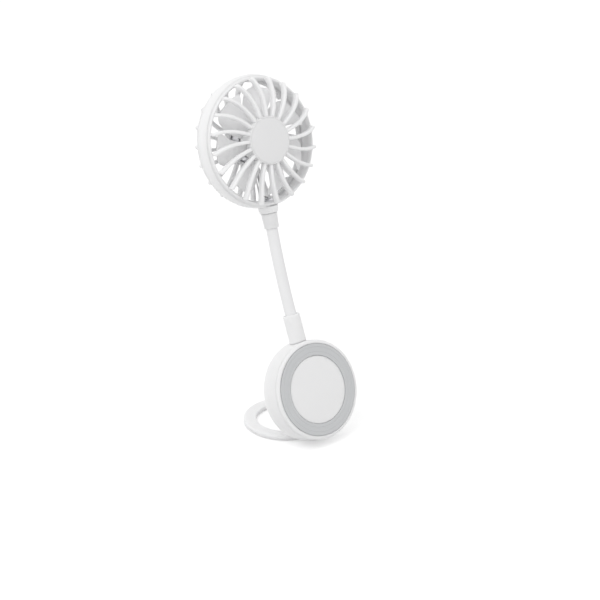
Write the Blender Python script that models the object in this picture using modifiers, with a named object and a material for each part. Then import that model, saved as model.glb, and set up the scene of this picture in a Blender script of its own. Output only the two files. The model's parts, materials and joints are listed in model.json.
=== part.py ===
"""A small fan on a flexible neck, held by a magnetic disc that leans on a hinged stand ring.

The device frame has X to the right, Y up the neck and Z forwards, out of the disc's magnetic face.
All lengths are in metres and all angles in degrees.
"""
import math

import bmesh
import bpy
from mathutils import Matrix, Vector

# Fits that every piece shares
GAP = 0.0003
OVERRUN = 0.002
MERGE_DISTANCE = 0.00001
ROUND_STEPS = 40
SMALL_STEPS = 14
TINY_STEPS = 10
ARC_STEPS = 2

# How the object stands
LEAN = 22.8
NECK_BEND = 2.9
NECK_NOD = 3.4

# Tubes that several pieces share
NECK_RADIUS = 0.0035
SPIGOT_SHARE = 1 / 6

# Base disc, both covers
BASE_RADIUS = 0.0300
BASE_DEPTH = 0.0150
BASE_EDGE = 0.0015
SPIGOT_RADIUS = BASE_DEPTH * SPIGOT_SHARE
COVER_WALL = 0.0016
FACE_WALL = 0.0018
SPIGOT_WALL = 0.0008
SPIGOT_DEPTH = 0.0018

# Silicone pad on the magnetic face
PAD_MARGIN = 0.0025
PAD_WIDTH = 0.0070
PAD_OUTER_RADIUS = BASE_RADIUS - PAD_MARGIN
PAD_INNER_RADIUS = PAD_OUTER_RADIUS - PAD_WIDTH
PAD_GROOVE = 0.0006
PAD_THICKNESS = 0.0006

# Recess at the back for the folded stand ring
RECESS_MARGIN = 0.0031
RECESS_WIDTH = 0.0087
RECESS_DEPTH_SHARE = 0.1933
RECESS_WALL_SHARE = 0.0933
RECESS_OUTER_RADIUS = BASE_RADIUS - RECESS_MARGIN
RECESS_INNER_RADIUS = RECESS_OUTER_RADIUS - RECESS_WIDTH
RECESS_DEPTH = BASE_DEPTH * RECESS_DEPTH_SHARE
RECESS_WALL = BASE_DEPTH * RECESS_WALL_SHARE

# Ring of magnets behind the face
MAGNET_MARGIN = 0.0030
MAGNET_WIDTH = 0.0042
MAGNET_OUTER_RADIUS = BASE_RADIUS - MAGNET_MARGIN
MAGNET_INNER_RADIUS = MAGNET_OUTER_RADIUS - MAGNET_WIDTH
MAGNET_THICKNESS = 0.0017
MAGNET_COUNT = 12
MAGNET_SPAN = 27.0
MAGNET_INSET = 0.0002
MAGNET_BOND = 0.0001
BACKING_THICKNESS = 0.0006

# Circuit board and what stands on it
BOARD_MARGIN = 0.0045
BOARD_THICKNESS = 0.0008
BOARD_PLACE_SHARE = -0.0733
BOARD_NOTCH_MARGIN = 0.0007
BOARD_NOTCH_LEAD_IN = 0.0024
BOARD_RADIUS = BASE_RADIUS - BOARD_MARGIN
BOARD_PLACE = BASE_DEPTH * BOARD_PLACE_SHARE
CHIP_SIZE = 0.0045
CHIP_HEIGHT = 0.0009
CHIP_OFFSET_X = 0.0100
CHIP_OFFSET_Y = 0.0040
LIGHT_RADIUS = 0.0009

# Charging socket
SOCKET_WIDTH = 0.0089
SOCKET_HEIGHT = 0.0032
SOCKET_LENGTH = 0.0076
SOCKET_SHELL = 0.0003
SOCKET_BACK = 0.0010
SOCKET_INSET = 0.0008
TONGUE_WIDTH = 0.0064
TONGUE_THICKNESS = 0.0007
TONGUE_INSET = 0.0010

# Power button and its switch
BUTTON_RADIUS = 0.0049
BUTTON_PROUD = 0.0006
BUTTON_FLANGE = 0.0013
BUTTON_FLANGE_THICKNESS = 0.0008
BUTTON_TRAVEL = 0.00045
BUTTON_EDGE = 0.0005
SWITCH_SIZE = 0.0060
PLUNGER_RADIUS = 0.0015
PLUNGER_PROUD = 0.00045

# Screws that join the covers
BOSS_RADIUS = 0.0020
BOSS_MARGIN = 0.0004
BOSS_CIRCLE_RADIUS = MAGNET_INNER_RADIUS - BOSS_RADIUS - BOSS_MARGIN
BOSS_TURN = 66.7
SCREW_RADIUS = 0.00075
SCREW_HEAD_RADIUS = 0.0016
SCREW_HEAD_HEIGHT = 0.0008
SCREW_SINK = 0.0012
SCREW_LENGTH = 0.0065
SCREW_PAD_RADIUS = 0.0030
SCREW_PAD_HEIGHT = 0.0010

# Battery cell, between the screw bosses
BATTERY_MARGIN = 0.0007
BATTERY_LOW_SHARE = 0.875
BATTERY_HIGH_SHARE = 0.625
BATTERY_ROUNDING = 0.0010
BATTERY_HALF_WIDTH = (BOSS_CIRCLE_RADIUS * math.sin(math.radians(BOSS_TURN)) - BOSS_RADIUS
                      - BATTERY_MARGIN)
BATTERY_LOW = -BATTERY_HALF_WIDTH * BATTERY_LOW_SHARE
BATTERY_HIGH = BATTERY_HALF_WIDTH * BATTERY_HIGH_SHARE

# Root of the neck and the block that anchors it
ANCHOR_INSET = 0.0144
ANCHOR_LENGTH = 0.0056
ANCHOR_WING = 0.0043
ANCHOR_HEAD_ROOM = 0.0014
ANCHOR_SCREW_MARGIN = 0.0025
ANCHOR_SCREW_BITE = 0.0008
ROOT_FLANGE = 0.0009
ROOT_FLANGE_LENGTH = 0.0014
ANCHOR_LOW = BASE_RADIUS - ANCHOR_INSET
ANCHOR_HALF_WIDTH = SPIGOT_RADIUS + ANCHOR_WING
ANCHOR_SCREW_SIDE = SPIGOT_RADIUS + ANCHOR_SCREW_MARGIN
ROOT_FLANGE_RADIUS = SPIGOT_RADIUS + ROOT_FLANGE
ROOT_SHOULDER = BASE_RADIUS + 2 * GAP
LEAD_RADIUS = 0.0005
LEAD_SPREAD = 0.0009

# Neck sleeves, from the photograph
LOWER_SLEEVE_STEP = 0.0017
LOWER_SLEEVE_LENGTH = 0.0170
SLEEVE_EDGE = 0.0004
UPPER_SLEEVE_TOP_STEP = 0.0014
UPPER_SLEEVE_LOW_STEP = 0.0009
UPPER_SLEEVE_LENGTH = 0.0090
LOWER_SLEEVE_RADIUS = NECK_RADIUS + LOWER_SLEEVE_STEP
LOWER_SLEEVE_TOP = BASE_RADIUS + LOWER_SLEEVE_LENGTH
UPPER_SLEEVE_TOP_RADIUS = NECK_RADIUS + UPPER_SLEEVE_TOP_STEP
UPPER_SLEEVE_LOW_RADIUS = NECK_RADIUS + UPPER_SLEEVE_LOW_STEP

# Flexible neck: links with ball joints
NECK_LENGTH = 0.0530
LINK_COUNT = 7
END_REACH = 0.0033
SOCKET_RIM = 0.0009
BALL_RADIUS = NECK_RADIUS - SOCKET_RIM
LINK_LOW_SETBACK = 0.0003
LINK_HIGH_SETBACK = 0.0015
BALL_STEPS = 3

# Stand ring, hinged at the foot of the disc
HINGE_INSET = 0.0021
STAND_MARGIN = 0.0009
STAND_TOP = 0.00115
KNUCKLE_RADIUS = 0.00135
KNUCKLE_HALF_WIDTH = 0.0040
HINGE_DROP = BASE_RADIUS - HINGE_INSET
HINGE_BACK = BASE_DEPTH / 2 - RECESS_DEPTH + GAP + STAND_TOP
STAND_INNER_RADIUS = RECESS_INNER_RADIUS + GAP
STAND_OUTER_RADIUS = RECESS_OUTER_RADIUS - STAND_MARGIN
STAND_BOTTOM = -KNUCKLE_RADIUS
ARM_REACH = 0.0042
PIN_RADIUS = 0.00065
PIN_HALF_LENGTH = 0.0065
FOOT_MARGIN = 0.0017
FOOT_INNER_RADIUS = STAND_INNER_RADIUS + FOOT_MARGIN
FOOT_OUTER_RADIUS = STAND_OUTER_RADIUS - FOOT_MARGIN
FOOT_PROUD = 0.0008
FOOT_GROOVE = 0.0005
ARM_INSET = 0.0002

# Fan head ring and its collar
HEAD_RADIUS = 0.0397
HEAD_BELLY = 0.0017
HEAD_BELLY_PLANE = -0.0015
HEAD_BELLY_REACH = 0.0065
HEAD_BELLY_STEPS = 6
HEAD_WALL = 0.0025
RING_FRONT = 0.0032
RING_BACK = -0.0052
FRONT_RIM_DEPTH = 0.0015
REAR_RIM_DEPTH = 0.0025
NECK_PLANE = -0.0010
COLLAR_WALL = 0.0025
COLLAR_STEP_WALL = 0.0021
COLLAR_STEP = 0.0013
COLLAR_LENGTH = 0.0033
COLLAR_ROOT = 0.0019
NUT_WALL = 0.0015
NUT_LENGTH = 0.0018
HEAD_SCREW_INSET = 0.0040
COLLAR_RADIUS = NECK_RADIUS + COLLAR_WALL
COLLAR_STEP_RADIUS = NECK_RADIUS + COLLAR_STEP_WALL
NUT_RADIUS = SPIGOT_RADIUS + NUT_WALL
HEAD_SCREW_CIRCLE_RADIUS = HEAD_RADIUS - HEAD_SCREW_INSET
HEAD_BOSS_RADIUS = 0.0019
HEAD_BOSS_LENGTH = 0.0049
HEAD_LUG_RADIUS = 0.0021
HEAD_SCREW_LENGTH = 0.0060
HEAD_SCREW_COUNT = 4

# Grilles
FIN_COUNT = 20
FIN_PHASE = -4.1
FIN_SWEEP = 10.0
FIN_THICKNESS = 0.0021
FIN_STATIONS = 4
FIN_CREST_INSET = 0.0019
FIN_FOOT_INSET = 0.0029
FRONT_FIN_PROUD = 0.0031
REAR_FIN_PROUD = 0.0022
REAR_FIN_TURN = 3.4
FIN_OVERLAP = 0.0001
FRONT_RIM_LAND = 0.0038
FRONT_RIM_MOUTH = 0.0027
REAR_RIM_LAND = 0.0043
RIM_EDGE = 0.0004
GRILLE_SPIGOT_DEPTH = 0.0035
SPIGOT_NOTCH_HALF_WIDTH = 0.0048
HUB_FRONT = 0.0130
HUB_RADIUS = 0.0142
HUB_LIP = 0.0007
HUB_RECESS = 0.0015
HUB_PLATE = 0.0023
FIN_HUB_STEP = 0.0003
FRONT_FIN_DEPTH = 0.0038
REAR_HUB_BACK = -0.0150
REAR_PLATE = 0.0020
REAR_FIN_DEPTH = 0.0032
CUP_WALL = 0.0013
CUP_HEIGHT = 0.0035

# Motor
MOTOR_RADIUS = 0.0120
MOTOR_LENGTH = 0.0105
MOTOR_WALL = 0.0007
MOTOR_PLATE = 0.0008
MOTOR_MAGNET_THICKNESS = 0.0011
MOTOR_MAGNET_SPAN = 130.0
MOTOR_MAGNET_INSET = 0.0012
BELL_THICKNESS = 0.0014
BUSH_RADIUS = 0.0029
BUSH_LENGTH = 0.0018
SHAFT_RADIUS = 0.0010
ARMATURE_MARGIN = 0.0028
ARMATURE_RADIUS = MOTOR_RADIUS - ARMATURE_MARGIN
ARMATURE_HUB_RADIUS = 0.0034
ARMATURE_LIP = 0.0014
ARMATURE_POLE_HALF_WIDTH = 0.0015
ARMATURE_LENGTH = 0.0054
ARMATURE_POLES = 3
ARMATURE_POLE_HALF_SPAN = 47.0
MOTOR_SCREW_SIDE = 0.0060
MOTOR_SCREW_SINK = 0.0010
MOTOR_SCREW_LENGTH = 0.0022

# Rotor
ROTOR_HUB_RADIUS = 0.0115
ROTOR_HEAD_ROOM = 0.0009
ROTOR_FOOT_ROOM = 0.0012
ROTOR_WALL = 0.0012
ROTOR_EDGE = 0.0012
ROTOR_BOSS_RADIUS = 0.0030
SHAFT_HEAD_ROOM = 0.0023
ROTOR_TIP_MARGIN = 0.0080
ROTOR_TIP_RADIUS = HEAD_RADIUS - ROTOR_TIP_MARGIN
BLADE_COUNT = 7
BLADE_THICKNESS = 0.0009
BLADE_ROOT_CHORD = 0.0100
BLADE_TIP_CHORD = 0.0210
BLADE_ROOT_PITCH = 38.0
BLADE_TIP_PITCH = 15.0
BLADE_LIFT = 0.0037
BLADE_SWEEP = 16.0
BLADE_BURY = 0.0007

# Turns that lay a piece's Z along the neck or along X
ALONG_NECK = (-math.pi / 2, 0, 0)
ALONG_X = (0, math.pi / 2, 0)

# Finishes: colour, roughness and metallic value
FINISHES = {
    "white_plastic": ((0.89, 0.89, 0.90), 0.42, 0.0),
    "cap_plastic": ((0.83, 0.83, 0.84), 0.50, 0.0),
    "white_silicone": ((0.86, 0.86, 0.87), 0.62, 0.0),
    "grey_silicone": ((0.60, 0.61, 0.62), 0.75, 0.0),
    "steel": ((0.62, 0.62, 0.64), 0.30, 1.0),
    "brass": ((0.78, 0.62, 0.32), 0.32, 1.0),
    "magnet": ((0.35, 0.35, 0.37), 0.28, 1.0),
    "iron": ((0.30, 0.29, 0.28), 0.50, 1.0),
    "battery_foil": ((0.68, 0.70, 0.74), 0.40, 0.6),
    "board_green": ((0.05, 0.24, 0.12), 0.45, 0.0),
    "dark_plastic": ((0.05, 0.05, 0.06), 0.50, 0.0),
    "light_pipe": ((0.92, 0.94, 0.96), 0.20, 0.0),
    "white_jacket": ((0.80, 0.80, 0.80), 0.50, 0.0),
    "grey_jacket": ((0.42, 0.42, 0.43), 0.50, 0.0),
}


def named_collection(name):
    """Return the collection of that name, linked to the scene."""
    group = bpy.data.collections.get(name) or bpy.data.collections.new(name)
    if name not in bpy.context.scene.collection.children:
        bpy.context.scene.collection.children.link(group)
    return group


def material(name):
    """Return the Principled material of a finish."""
    made = bpy.data.materials.get(name)
    if made:
        return made
    colour, roughness, metallic = FINISHES[name]
    made = bpy.data.materials.new(name)
    made.use_nodes = True
    shader = made.node_tree.nodes["Principled BSDF"]
    shader.inputs["Base Color"].default_value = (*colour, 1.0)
    shader.inputs["Roughness"].default_value = roughness
    shader.inputs["Metallic"].default_value = metallic
    return made


def add_object(name, data, parent, finish=None, place=(0, 0, 0), turn=(0, 0, 0)):
    """Link a piece, or a cutter where it has no finish, under its parent."""
    obj = bpy.data.objects.new(name, data)
    named_collection("magnetic_phone_fan" if finish else "cutters").objects.link(obj)
    obj.parent = parent
    obj.location = place
    obj.rotation_euler = turn
    if finish:
        data.materials.append(material(finish))
    else:
        obj.hide_render = True
        obj.display_type = "WIRE"
    return obj


def axis_point(name, parent=None, place=(0, 0, 0), turn=(0, 0, 0)):
    """Add an empty that carries a body's pieces."""
    empty = bpy.data.objects.new(name, None)
    named_collection("magnetic_phone_fan").objects.link(empty)
    empty.parent = parent
    empty.location = place
    empty.rotation_euler = turn
    return empty


def runs_clockwise(outline):
    """Say whether an outline of radius and height runs down its outer side."""
    pairs = zip(outline, outline[1:] + outline[:1])
    return sum(a[0] * b[1] - b[0] * a[1] for a, b in pairs) < 0


def turned(name, outlines, parent, finish=None, steps=ROUND_STEPS, place=(0, 0, 0), turn=(0, 0, 0)):
    """Turn outlines about Z. One that starts and ends on the axis is solid there."""
    points, edges = [], []
    for outline in outlines:
        run = outline if runs_clockwise(outline) else outline[::-1]
        start = len(points)
        points += [(radius, 0, height) for radius, height in run]
        edges += [(start + i, start + i + 1) for i in range(len(run) - 1)]
        if run[0][0] or run[-1][0]:
            edges.append((start + len(run) - 1, start))
    mesh = bpy.data.meshes.new(name)
    mesh.from_pydata(points, edges, [])
    obj = add_object(name, mesh, parent, finish, place, turn)
    screw = obj.modifiers.new("turn", "SCREW")
    screw.steps = screw.render_steps = steps
    screw.use_merge_vertices = True
    screw.merge_threshold = MERGE_DISTANCE
    screw.use_smooth_shade = True
    return obj


def tube_outline(inner, outer, low, high):
    """Outline of a ring of rectangular section, or of a disc where the inner radius is zero."""
    return [(inner, high), (outer, high), (outer, low), (inner, low)]


def arc_points(centre, radius, start, end, steps=ARC_STEPS):
    """Points along an arc in the outline's plane, from one angle to another."""
    angles = [math.radians(start + (end - start) * i / steps) for i in range(steps + 1)]
    return [(centre[0] + radius * math.cos(a), centre[1] + radius * math.sin(a)) for a in angles]


def box(name, low, high, parent, finish=None, rounding=0, segments=2):
    """Add a box between two corners, with rounded edges if asked."""
    size = [b - a for a, b in zip(low, high)]
    centre = [(a + b) / 2 for a, b in zip(low, high)]
    bm = bmesh.new()
    bmesh.ops.create_cube(bm, size=1)
    bmesh.ops.scale(bm, vec=size, verts=bm.verts)
    mesh = bpy.data.meshes.new(name)
    bm.to_mesh(mesh)
    bm.free()
    obj = add_object(name, mesh, parent, finish, centre)
    if rounding:
        bevel = obj.modifiers.new("round", "BEVEL")
        bevel.width = rounding
        bevel.segments = segments
    return obj


def pegs(name, places, radius, low, high, parent, finish=None, steps=TINY_STEPS, **spot):
    """Add a cylinder along Z at each place. Several in one object are cutters."""
    bm = bmesh.new()
    for x, y in places:
        centre = Matrix.Translation((x, y, (low + high) / 2)) @ Matrix.Rotation(math.pi / steps, 4, "Z")
        bmesh.ops.create_cone(bm, cap_ends=True, segments=steps, radius1=radius, radius2=radius,
                              depth=high - low, matrix=centre)
    mesh = bpy.data.meshes.new(name)
    bm.to_mesh(mesh)
    bm.free()
    return add_object(name, mesh, parent, finish, **spot)


def screws(name, places, tip, parent, seat=0, head_height=SCREW_HEAD_HEIGHT, turn=(0, 0, 0)):
    """Add equal screws, each its own piece. The head is below the seat and the tip above it."""
    outline = [(0, tip), (SCREW_RADIUS, tip), (SCREW_RADIUS, 0), (SCREW_HEAD_RADIUS, 0),
               (SCREW_HEAD_RADIUS, -head_height), (0, -head_height)]
    for i, (x, y) in enumerate(places):
        turned(f"{name}_{i + 1}", [outline], parent, "steel", TINY_STEPS, (x, y, seat), turn)


def mapped_grid(bm, columns, rows, point):
    """Add a grid whose corners go where point says, from shares of its length and width."""
    made = bmesh.ops.create_grid(bm, x_segments=columns, y_segments=rows, size=1)
    for vert in made["verts"]:
        vert.co = point((vert.co.x + 1) / 2, (vert.co.y + 1) / 2)


def thickened(name, bm, thickness, parent, finish=None):
    """Make an open surface solid, with the surface in the middle of its wall."""
    mesh = bpy.data.meshes.new(name)
    bm.to_mesh(mesh)
    bm.free()
    obj = add_object(name, mesh, parent, finish)
    solidify = obj.modifiers.new("wall", "SOLIDIFY")
    solidify.thickness = thickness
    solidify.offset = 0
    solidify.use_even_offset = True
    return obj


def arc_plates(name, middles, span, inner, outer, low, high, steps, parent, finish=None):
    """Add a plate bent round Z at each middle angle. Several in one object are cutters."""
    bm = bmesh.new()
    radius = (inner + outer) / 2

    def plate_point(middle):
        def point(along, across):
            angle = math.radians(middle + span * (along - 0.5))
            return radius * math.sin(angle), radius * math.cos(angle), low + (high - low) * across
        return point

    for middle in middles:
        mapped_grid(bm, steps, 1, plate_point(middle))
    return thickened(name, bm, outer - inner, parent, finish)


def flat_plate(name, outlines, low, high, parent, finish):
    """Cut a flat plate from outlines. An outline inside another is a hole."""
    curve = bpy.data.curves.new(name, "CURVE")
    curve.dimensions = "2D"
    curve.fill_mode = "BOTH"
    curve.extrude = (high - low) / 2
    for outline in outlines:
        spline = curve.splines.new("POLY")
        spline.points.add(len(outline) - 1)
        for point, (x, y) in zip(spline.points, outline):
            point.co = (x, y, 0, 1)
        spline.use_cyclic_u = True
    drawn = bpy.data.objects.new(name + "_outline", curve)
    named_collection("cutters").objects.link(drawn)
    mesh = bpy.data.meshes.new_from_object(drawn.evaluated_get(bpy.context.evaluated_depsgraph_get()))
    bpy.data.objects.remove(drawn)
    bm = bmesh.new()
    bm.from_mesh(mesh)
    bmesh.ops.remove_doubles(bm, verts=bm.verts, dist=MERGE_DISTANCE)
    bmesh.ops.recalc_face_normals(bm, faces=bm.faces)
    bm.to_mesh(mesh)
    bm.free()
    mesh.name = name
    return add_object(name, mesh, parent, finish, (0, 0, (low + high) / 2))


def lead(name, route, parent, finish):
    """Add a round wire along its route."""
    curve = bpy.data.curves.new(name, "CURVE")
    curve.dimensions = "3D"
    curve.bevel_depth = LEAD_RADIUS
    curve.bevel_resolution = 2
    curve.use_fill_caps = True
    spline = curve.splines.new("POLY")
    spline.points.add(len(route) - 1)
    for point, place in zip(spline.points, route):
        point.co = (*place, 1)
    return add_object(name, curve, parent, finish)


def combine(obj, operation, *others):
    """Join others to a piece, or cut them from it."""
    for other in others:
        step = obj.modifiers.new(operation.lower(), "BOOLEAN")
        step.operation = operation
        step.object = other


def ring_places(count, radius, start):
    """Places evenly round a circle, clockwise from the top, seen from the front."""
    angles = [math.radians(start + 360 * i / count) for i in range(count)]
    return [(radius * math.sin(a), radius * math.cos(a)) for a in angles]


# Heights in the disc that several pieces share
FACE = BASE_DEPTH / 2
BACK = -BASE_DEPTH / 2
FACE_INSIDE = FACE - FACE_WALL
SKIRT_FRONT = FACE_INSIDE - GAP
RECESS_FLOOR = BACK + RECESS_DEPTH
RECESS_INSIDE = RECESS_FLOOR + RECESS_WALL
ISLAND_INSIDE = BACK + RECESS_WALL
SKIRT_INSIDE_RADIUS = BASE_RADIUS - COVER_WALL
MAGNET_FRONT = FACE_INSIDE - GAP
MAGNET_BACK = MAGNET_FRONT - MAGNET_THICKNESS
BACKING_FRONT = MAGNET_BACK + MAGNET_BOND
LEAD_KINDS = [("white", -LEAD_SPREAD), ("grey", LEAD_SPREAD)]
BOARD_BACK = BOARD_PLACE - BOARD_THICKNESS
COVER_SCREW_PLACES = [(BOSS_CIRCLE_RADIUS * math.sin(math.radians(turn)),
                       BOSS_CIRCLE_RADIUS * math.cos(math.radians(turn)))
                      for turn in (-BOSS_TURN, BOSS_TURN, 180)]
ANCHOR_SCREW_Y = ANCHOR_LOW + ANCHOR_LENGTH / 2
ANCHOR_SCREW_PLACES = [(-ANCHOR_SCREW_SIDE, ANCHOR_SCREW_Y), (ANCHOR_SCREW_SIDE, ANCHOR_SCREW_Y)]
SOCKET_FRONT = BASE_RADIUS - SOCKET_INSET
SOCKET_LOW = BOARD_PLACE + GAP
SOCKET_HIGH = SOCKET_LOW + SOCKET_HEIGHT
BUTTON_INSIDE = ISLAND_INSIDE + GAP + BUTTON_FLANGE_THICKNESS
PLUNGER_END = BUTTON_INSIDE + BUTTON_TRAVEL + GAP
LIGHT_PLACE = -(BUTTON_RADIUS + BUTTON_FLANGE + RECESS_INNER_RADIUS - RECESS_WALL) / 2
ANCHOR_BACK = RECESS_INSIDE + GAP
ANCHOR_FRONT = FACE_INSIDE - ANCHOR_HEAD_ROOM


def build_front_cover(device):
    """Make the disc's front shell, with the magnetic face, its spigot and screw bosses."""
    groove = FACE - PAD_GROOVE
    spigot_outer = SKIRT_INSIDE_RADIUS - GAP
    spigot_inner = spigot_outer - SPIGOT_WALL
    spigot_end = FACE_INSIDE - SPIGOT_DEPTH
    corner = (BASE_RADIUS - BASE_EDGE, FACE - BASE_EDGE)
    outline = [(0, FACE), (PAD_INNER_RADIUS - GAP, FACE), (PAD_INNER_RADIUS - GAP, groove),
               (PAD_OUTER_RADIUS + GAP, groove), (PAD_OUTER_RADIUS + GAP, FACE),
               *arc_points(corner, BASE_EDGE, 90, 0),
               (BASE_RADIUS, FACE_INSIDE), (spigot_outer, FACE_INSIDE), (spigot_outer, spigot_end),
               (spigot_inner, spigot_end), (spigot_inner, FACE_INSIDE), (0, FACE_INSIDE)]
    cover = turned("base_front_cover", [outline], device, "white_plastic")
    foot = BOARD_BACK
    bosses = pegs("cover_bosses", COVER_SCREW_PLACES, BOSS_RADIUS, foot, FACE_INSIDE + GAP, device)
    holes = pegs("cover_boss_holes", COVER_SCREW_PLACES, SCREW_RADIUS + GAP, foot - OVERRUN,
                 FACE_INSIDE - COVER_WALL, device)
    combine(cover, "UNION", bosses)
    combine(cover, "DIFFERENCE", holes)


def build_rear_cover(device):
    """Make the disc's rear shell, with the stand recess and the openings through its wall."""
    button_hole = BUTTON_RADIUS + GAP
    island = RECESS_INNER_RADIUS - RECESS_WALL
    corner = (BASE_RADIUS - BASE_EDGE, BACK + BASE_EDGE)
    outline = [(button_hole, ISLAND_INSIDE), (island, ISLAND_INSIDE), (island, RECESS_INSIDE),
               (SKIRT_INSIDE_RADIUS, RECESS_INSIDE), (SKIRT_INSIDE_RADIUS, SKIRT_FRONT),
               (BASE_RADIUS, SKIRT_FRONT), *arc_points(corner, BASE_EDGE, 0, -90),
               (RECESS_OUTER_RADIUS, BACK), (RECESS_OUTER_RADIUS, RECESS_FLOOR),
               (RECESS_INNER_RADIUS, RECESS_FLOOR), (RECESS_INNER_RADIUS, BACK), (button_hole, BACK)]
    cover = turned("base_rear_cover", [outline], device, "white_plastic")
    pad_top = RECESS_INSIDE + SCREW_PAD_HEIGHT
    pads = pegs("screw_pads", COVER_SCREW_PLACES, SCREW_PAD_RADIUS, RECESS_INSIDE - GAP, pad_top, device)
    sinks = pegs("screw_sinks", COVER_SCREW_PLACES, SCREW_HEAD_RADIUS + GAP, RECESS_FLOOR - OVERRUN,
                 RECESS_FLOOR + SCREW_SINK, device)
    holes = pegs("screw_holes", COVER_SCREW_PLACES, SCREW_RADIUS + GAP, RECESS_FLOOR - OVERRUN,
                 pad_top + OVERRUN, device)
    anchor_holes = pegs("anchor_screw_sockets", ANCHOR_SCREW_PLACES, SCREW_RADIUS + GAP,
                        RECESS_INSIDE - ANCHOR_SCREW_BITE - GAP, RECESS_INSIDE + OVERRUN, device)
    light_hole = pegs("light_hole", [(0, LIGHT_PLACE)], LIGHT_RADIUS + GAP, BACK - OVERRUN,
                      ISLAND_INSIDE + OVERRUN, device)
    neck_hole = pegs("neck_hole", [(0, 0)], SPIGOT_RADIUS + GAP, SKIRT_INSIDE_RADIUS - OVERRUN,
                     BASE_RADIUS + OVERRUN, device, steps=SMALL_STEPS, turn=ALONG_NECK)
    slot_low = (SKIRT_INSIDE_RADIUS - OVERRUN, -SOCKET_WIDTH / 2 - GAP, SOCKET_LOW - GAP)
    slot_high = (BASE_RADIUS + OVERRUN, SOCKET_WIDTH / 2 + GAP, SOCKET_HIGH + GAP)
    slot = box("socket_slot", slot_low, slot_high, device)
    notch_side = KNUCKLE_HALF_WIDTH + GAP
    notch_top = -HINGE_BACK + KNUCKLE_RADIUS + 2 * GAP
    notch = box("hinge_notch", (-notch_side, -BASE_RADIUS - OVERRUN, BACK - OVERRUN),
                (notch_side, -HINGE_DROP + ARM_REACH, notch_top), device)
    bore = pegs("hinge_bore", [(0, 0)], PIN_RADIUS + GAP, -PIN_HALF_LENGTH - GAP,
                PIN_HALF_LENGTH + GAP, device, place=(0, -HINGE_DROP, -HINGE_BACK), turn=ALONG_X)
    combine(cover, "UNION", pads)
    combine(cover, "DIFFERENCE", sinks, holes, anchor_holes, light_hole, neck_hole, slot, notch, bore)


def build_magnets(device):
    """Make the face pad, and the magnets bonded to their steel ring."""
    pad_low = FACE - PAD_GROOVE + GAP
    pad = tube_outline(PAD_INNER_RADIUS, PAD_OUTER_RADIUS, pad_low, pad_low + PAD_THICKNESS)
    turned("face_pad", [pad], device, "grey_silicone")
    backing = tube_outline(MAGNET_INNER_RADIUS, MAGNET_OUTER_RADIUS,
                           BACKING_FRONT - BACKING_THICKNESS, BACKING_FRONT)
    ring = turned("magnet_ring", [backing], device, "magnet")
    middles = [(i + 0.5) * 360 / MAGNET_COUNT for i in range(MAGNET_COUNT)]
    blocks = arc_plates("magnet_blocks", middles, MAGNET_SPAN, MAGNET_INNER_RADIUS + MAGNET_INSET,
                        MAGNET_OUTER_RADIUS - MAGNET_INSET, MAGNET_BACK, MAGNET_FRONT, 1, device)
    combine(ring, "UNION", blocks)


def build_electronics(device):
    """Make the battery, the board and everything that stands on the board."""
    box("battery_cell", (-BATTERY_HALF_WIDTH, BATTERY_LOW, BOARD_PLACE + GAP),
        (BATTERY_HALF_WIDTH, BATTERY_HIGH, MAGNET_FRONT - GAP), device, "battery_foil", BATTERY_ROUNDING)
    board = turned("circuit_board", [tube_outline(0, BOARD_RADIUS, BOARD_BACK, BOARD_PLACE)], device,
                   "board_green")
    notch_side = ANCHOR_HALF_WIDTH + BOARD_NOTCH_MARGIN
    notch = box("board_notch", (-notch_side, ANCHOR_LOW - BOARD_NOTCH_LEAD_IN, BOARD_BACK - OVERRUN),
                (notch_side, BOARD_RADIUS + OVERRUN, BOARD_PLACE + OVERRUN), device)
    holes = pegs("board_holes", COVER_SCREW_PLACES, BOSS_RADIUS + GAP, BOARD_BACK - OVERRUN,
                 BOARD_PLACE + OVERRUN, device)
    combine(board, "DIFFERENCE", notch, holes)
    chip_front = BOARD_BACK - GAP
    half = CHIP_SIZE / 2
    for name, x in (("charge_chip", -CHIP_OFFSET_X), ("control_chip", CHIP_OFFSET_X)):
        box(name, (x - half, CHIP_OFFSET_Y - half, chip_front - CHIP_HEIGHT),
            (x + half, CHIP_OFFSET_Y + half, chip_front), device, "dark_plastic")
    pegs("charge_light", [(0, LIGHT_PLACE)], LIGHT_RADIUS, BACK, chip_front, device, "light_pipe")
    build_socket(device)
    build_switch(device, chip_front)


def build_socket(device):
    """Make the charging socket: a thin shell open to the side, with a tongue inside."""
    back = SOCKET_FRONT - SOCKET_LENGTH
    side = SOCKET_WIDTH / 2
    middle = (SOCKET_LOW + SOCKET_HIGH) / 2
    shell = box("usb_c_socket", (back, -side, SOCKET_LOW), (SOCKET_FRONT, side, SOCKET_HIGH), device,
                "steel")
    pocket = box("socket_pocket", (back + SOCKET_BACK, -side + SOCKET_SHELL, SOCKET_LOW + SOCKET_SHELL),
                 (SOCKET_FRONT + OVERRUN, side - SOCKET_SHELL, SOCKET_HIGH - SOCKET_SHELL), device)
    tongue = box("socket_tongue", (back + SOCKET_BACK / 2, -TONGUE_WIDTH / 2, middle - TONGUE_THICKNESS / 2),
                 (SOCKET_FRONT - TONGUE_INSET, TONGUE_WIDTH / 2, middle + TONGUE_THICKNESS / 2), device)
    combine(shell, "DIFFERENCE", pocket)
    combine(shell, "UNION", tongue)


def build_switch(device, front):
    """Make the push switch on the back of the board."""
    half = SWITCH_SIZE / 2
    back = PLUNGER_END + PLUNGER_PROUD
    switch = box("push_switch", (-half, -half, back), (half, half, front), device, "dark_plastic")
    plunger = pegs("switch_plunger", [(0, 0)], PLUNGER_RADIUS, PLUNGER_END, back + GAP, device)
    combine(switch, "UNION", plunger)


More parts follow.
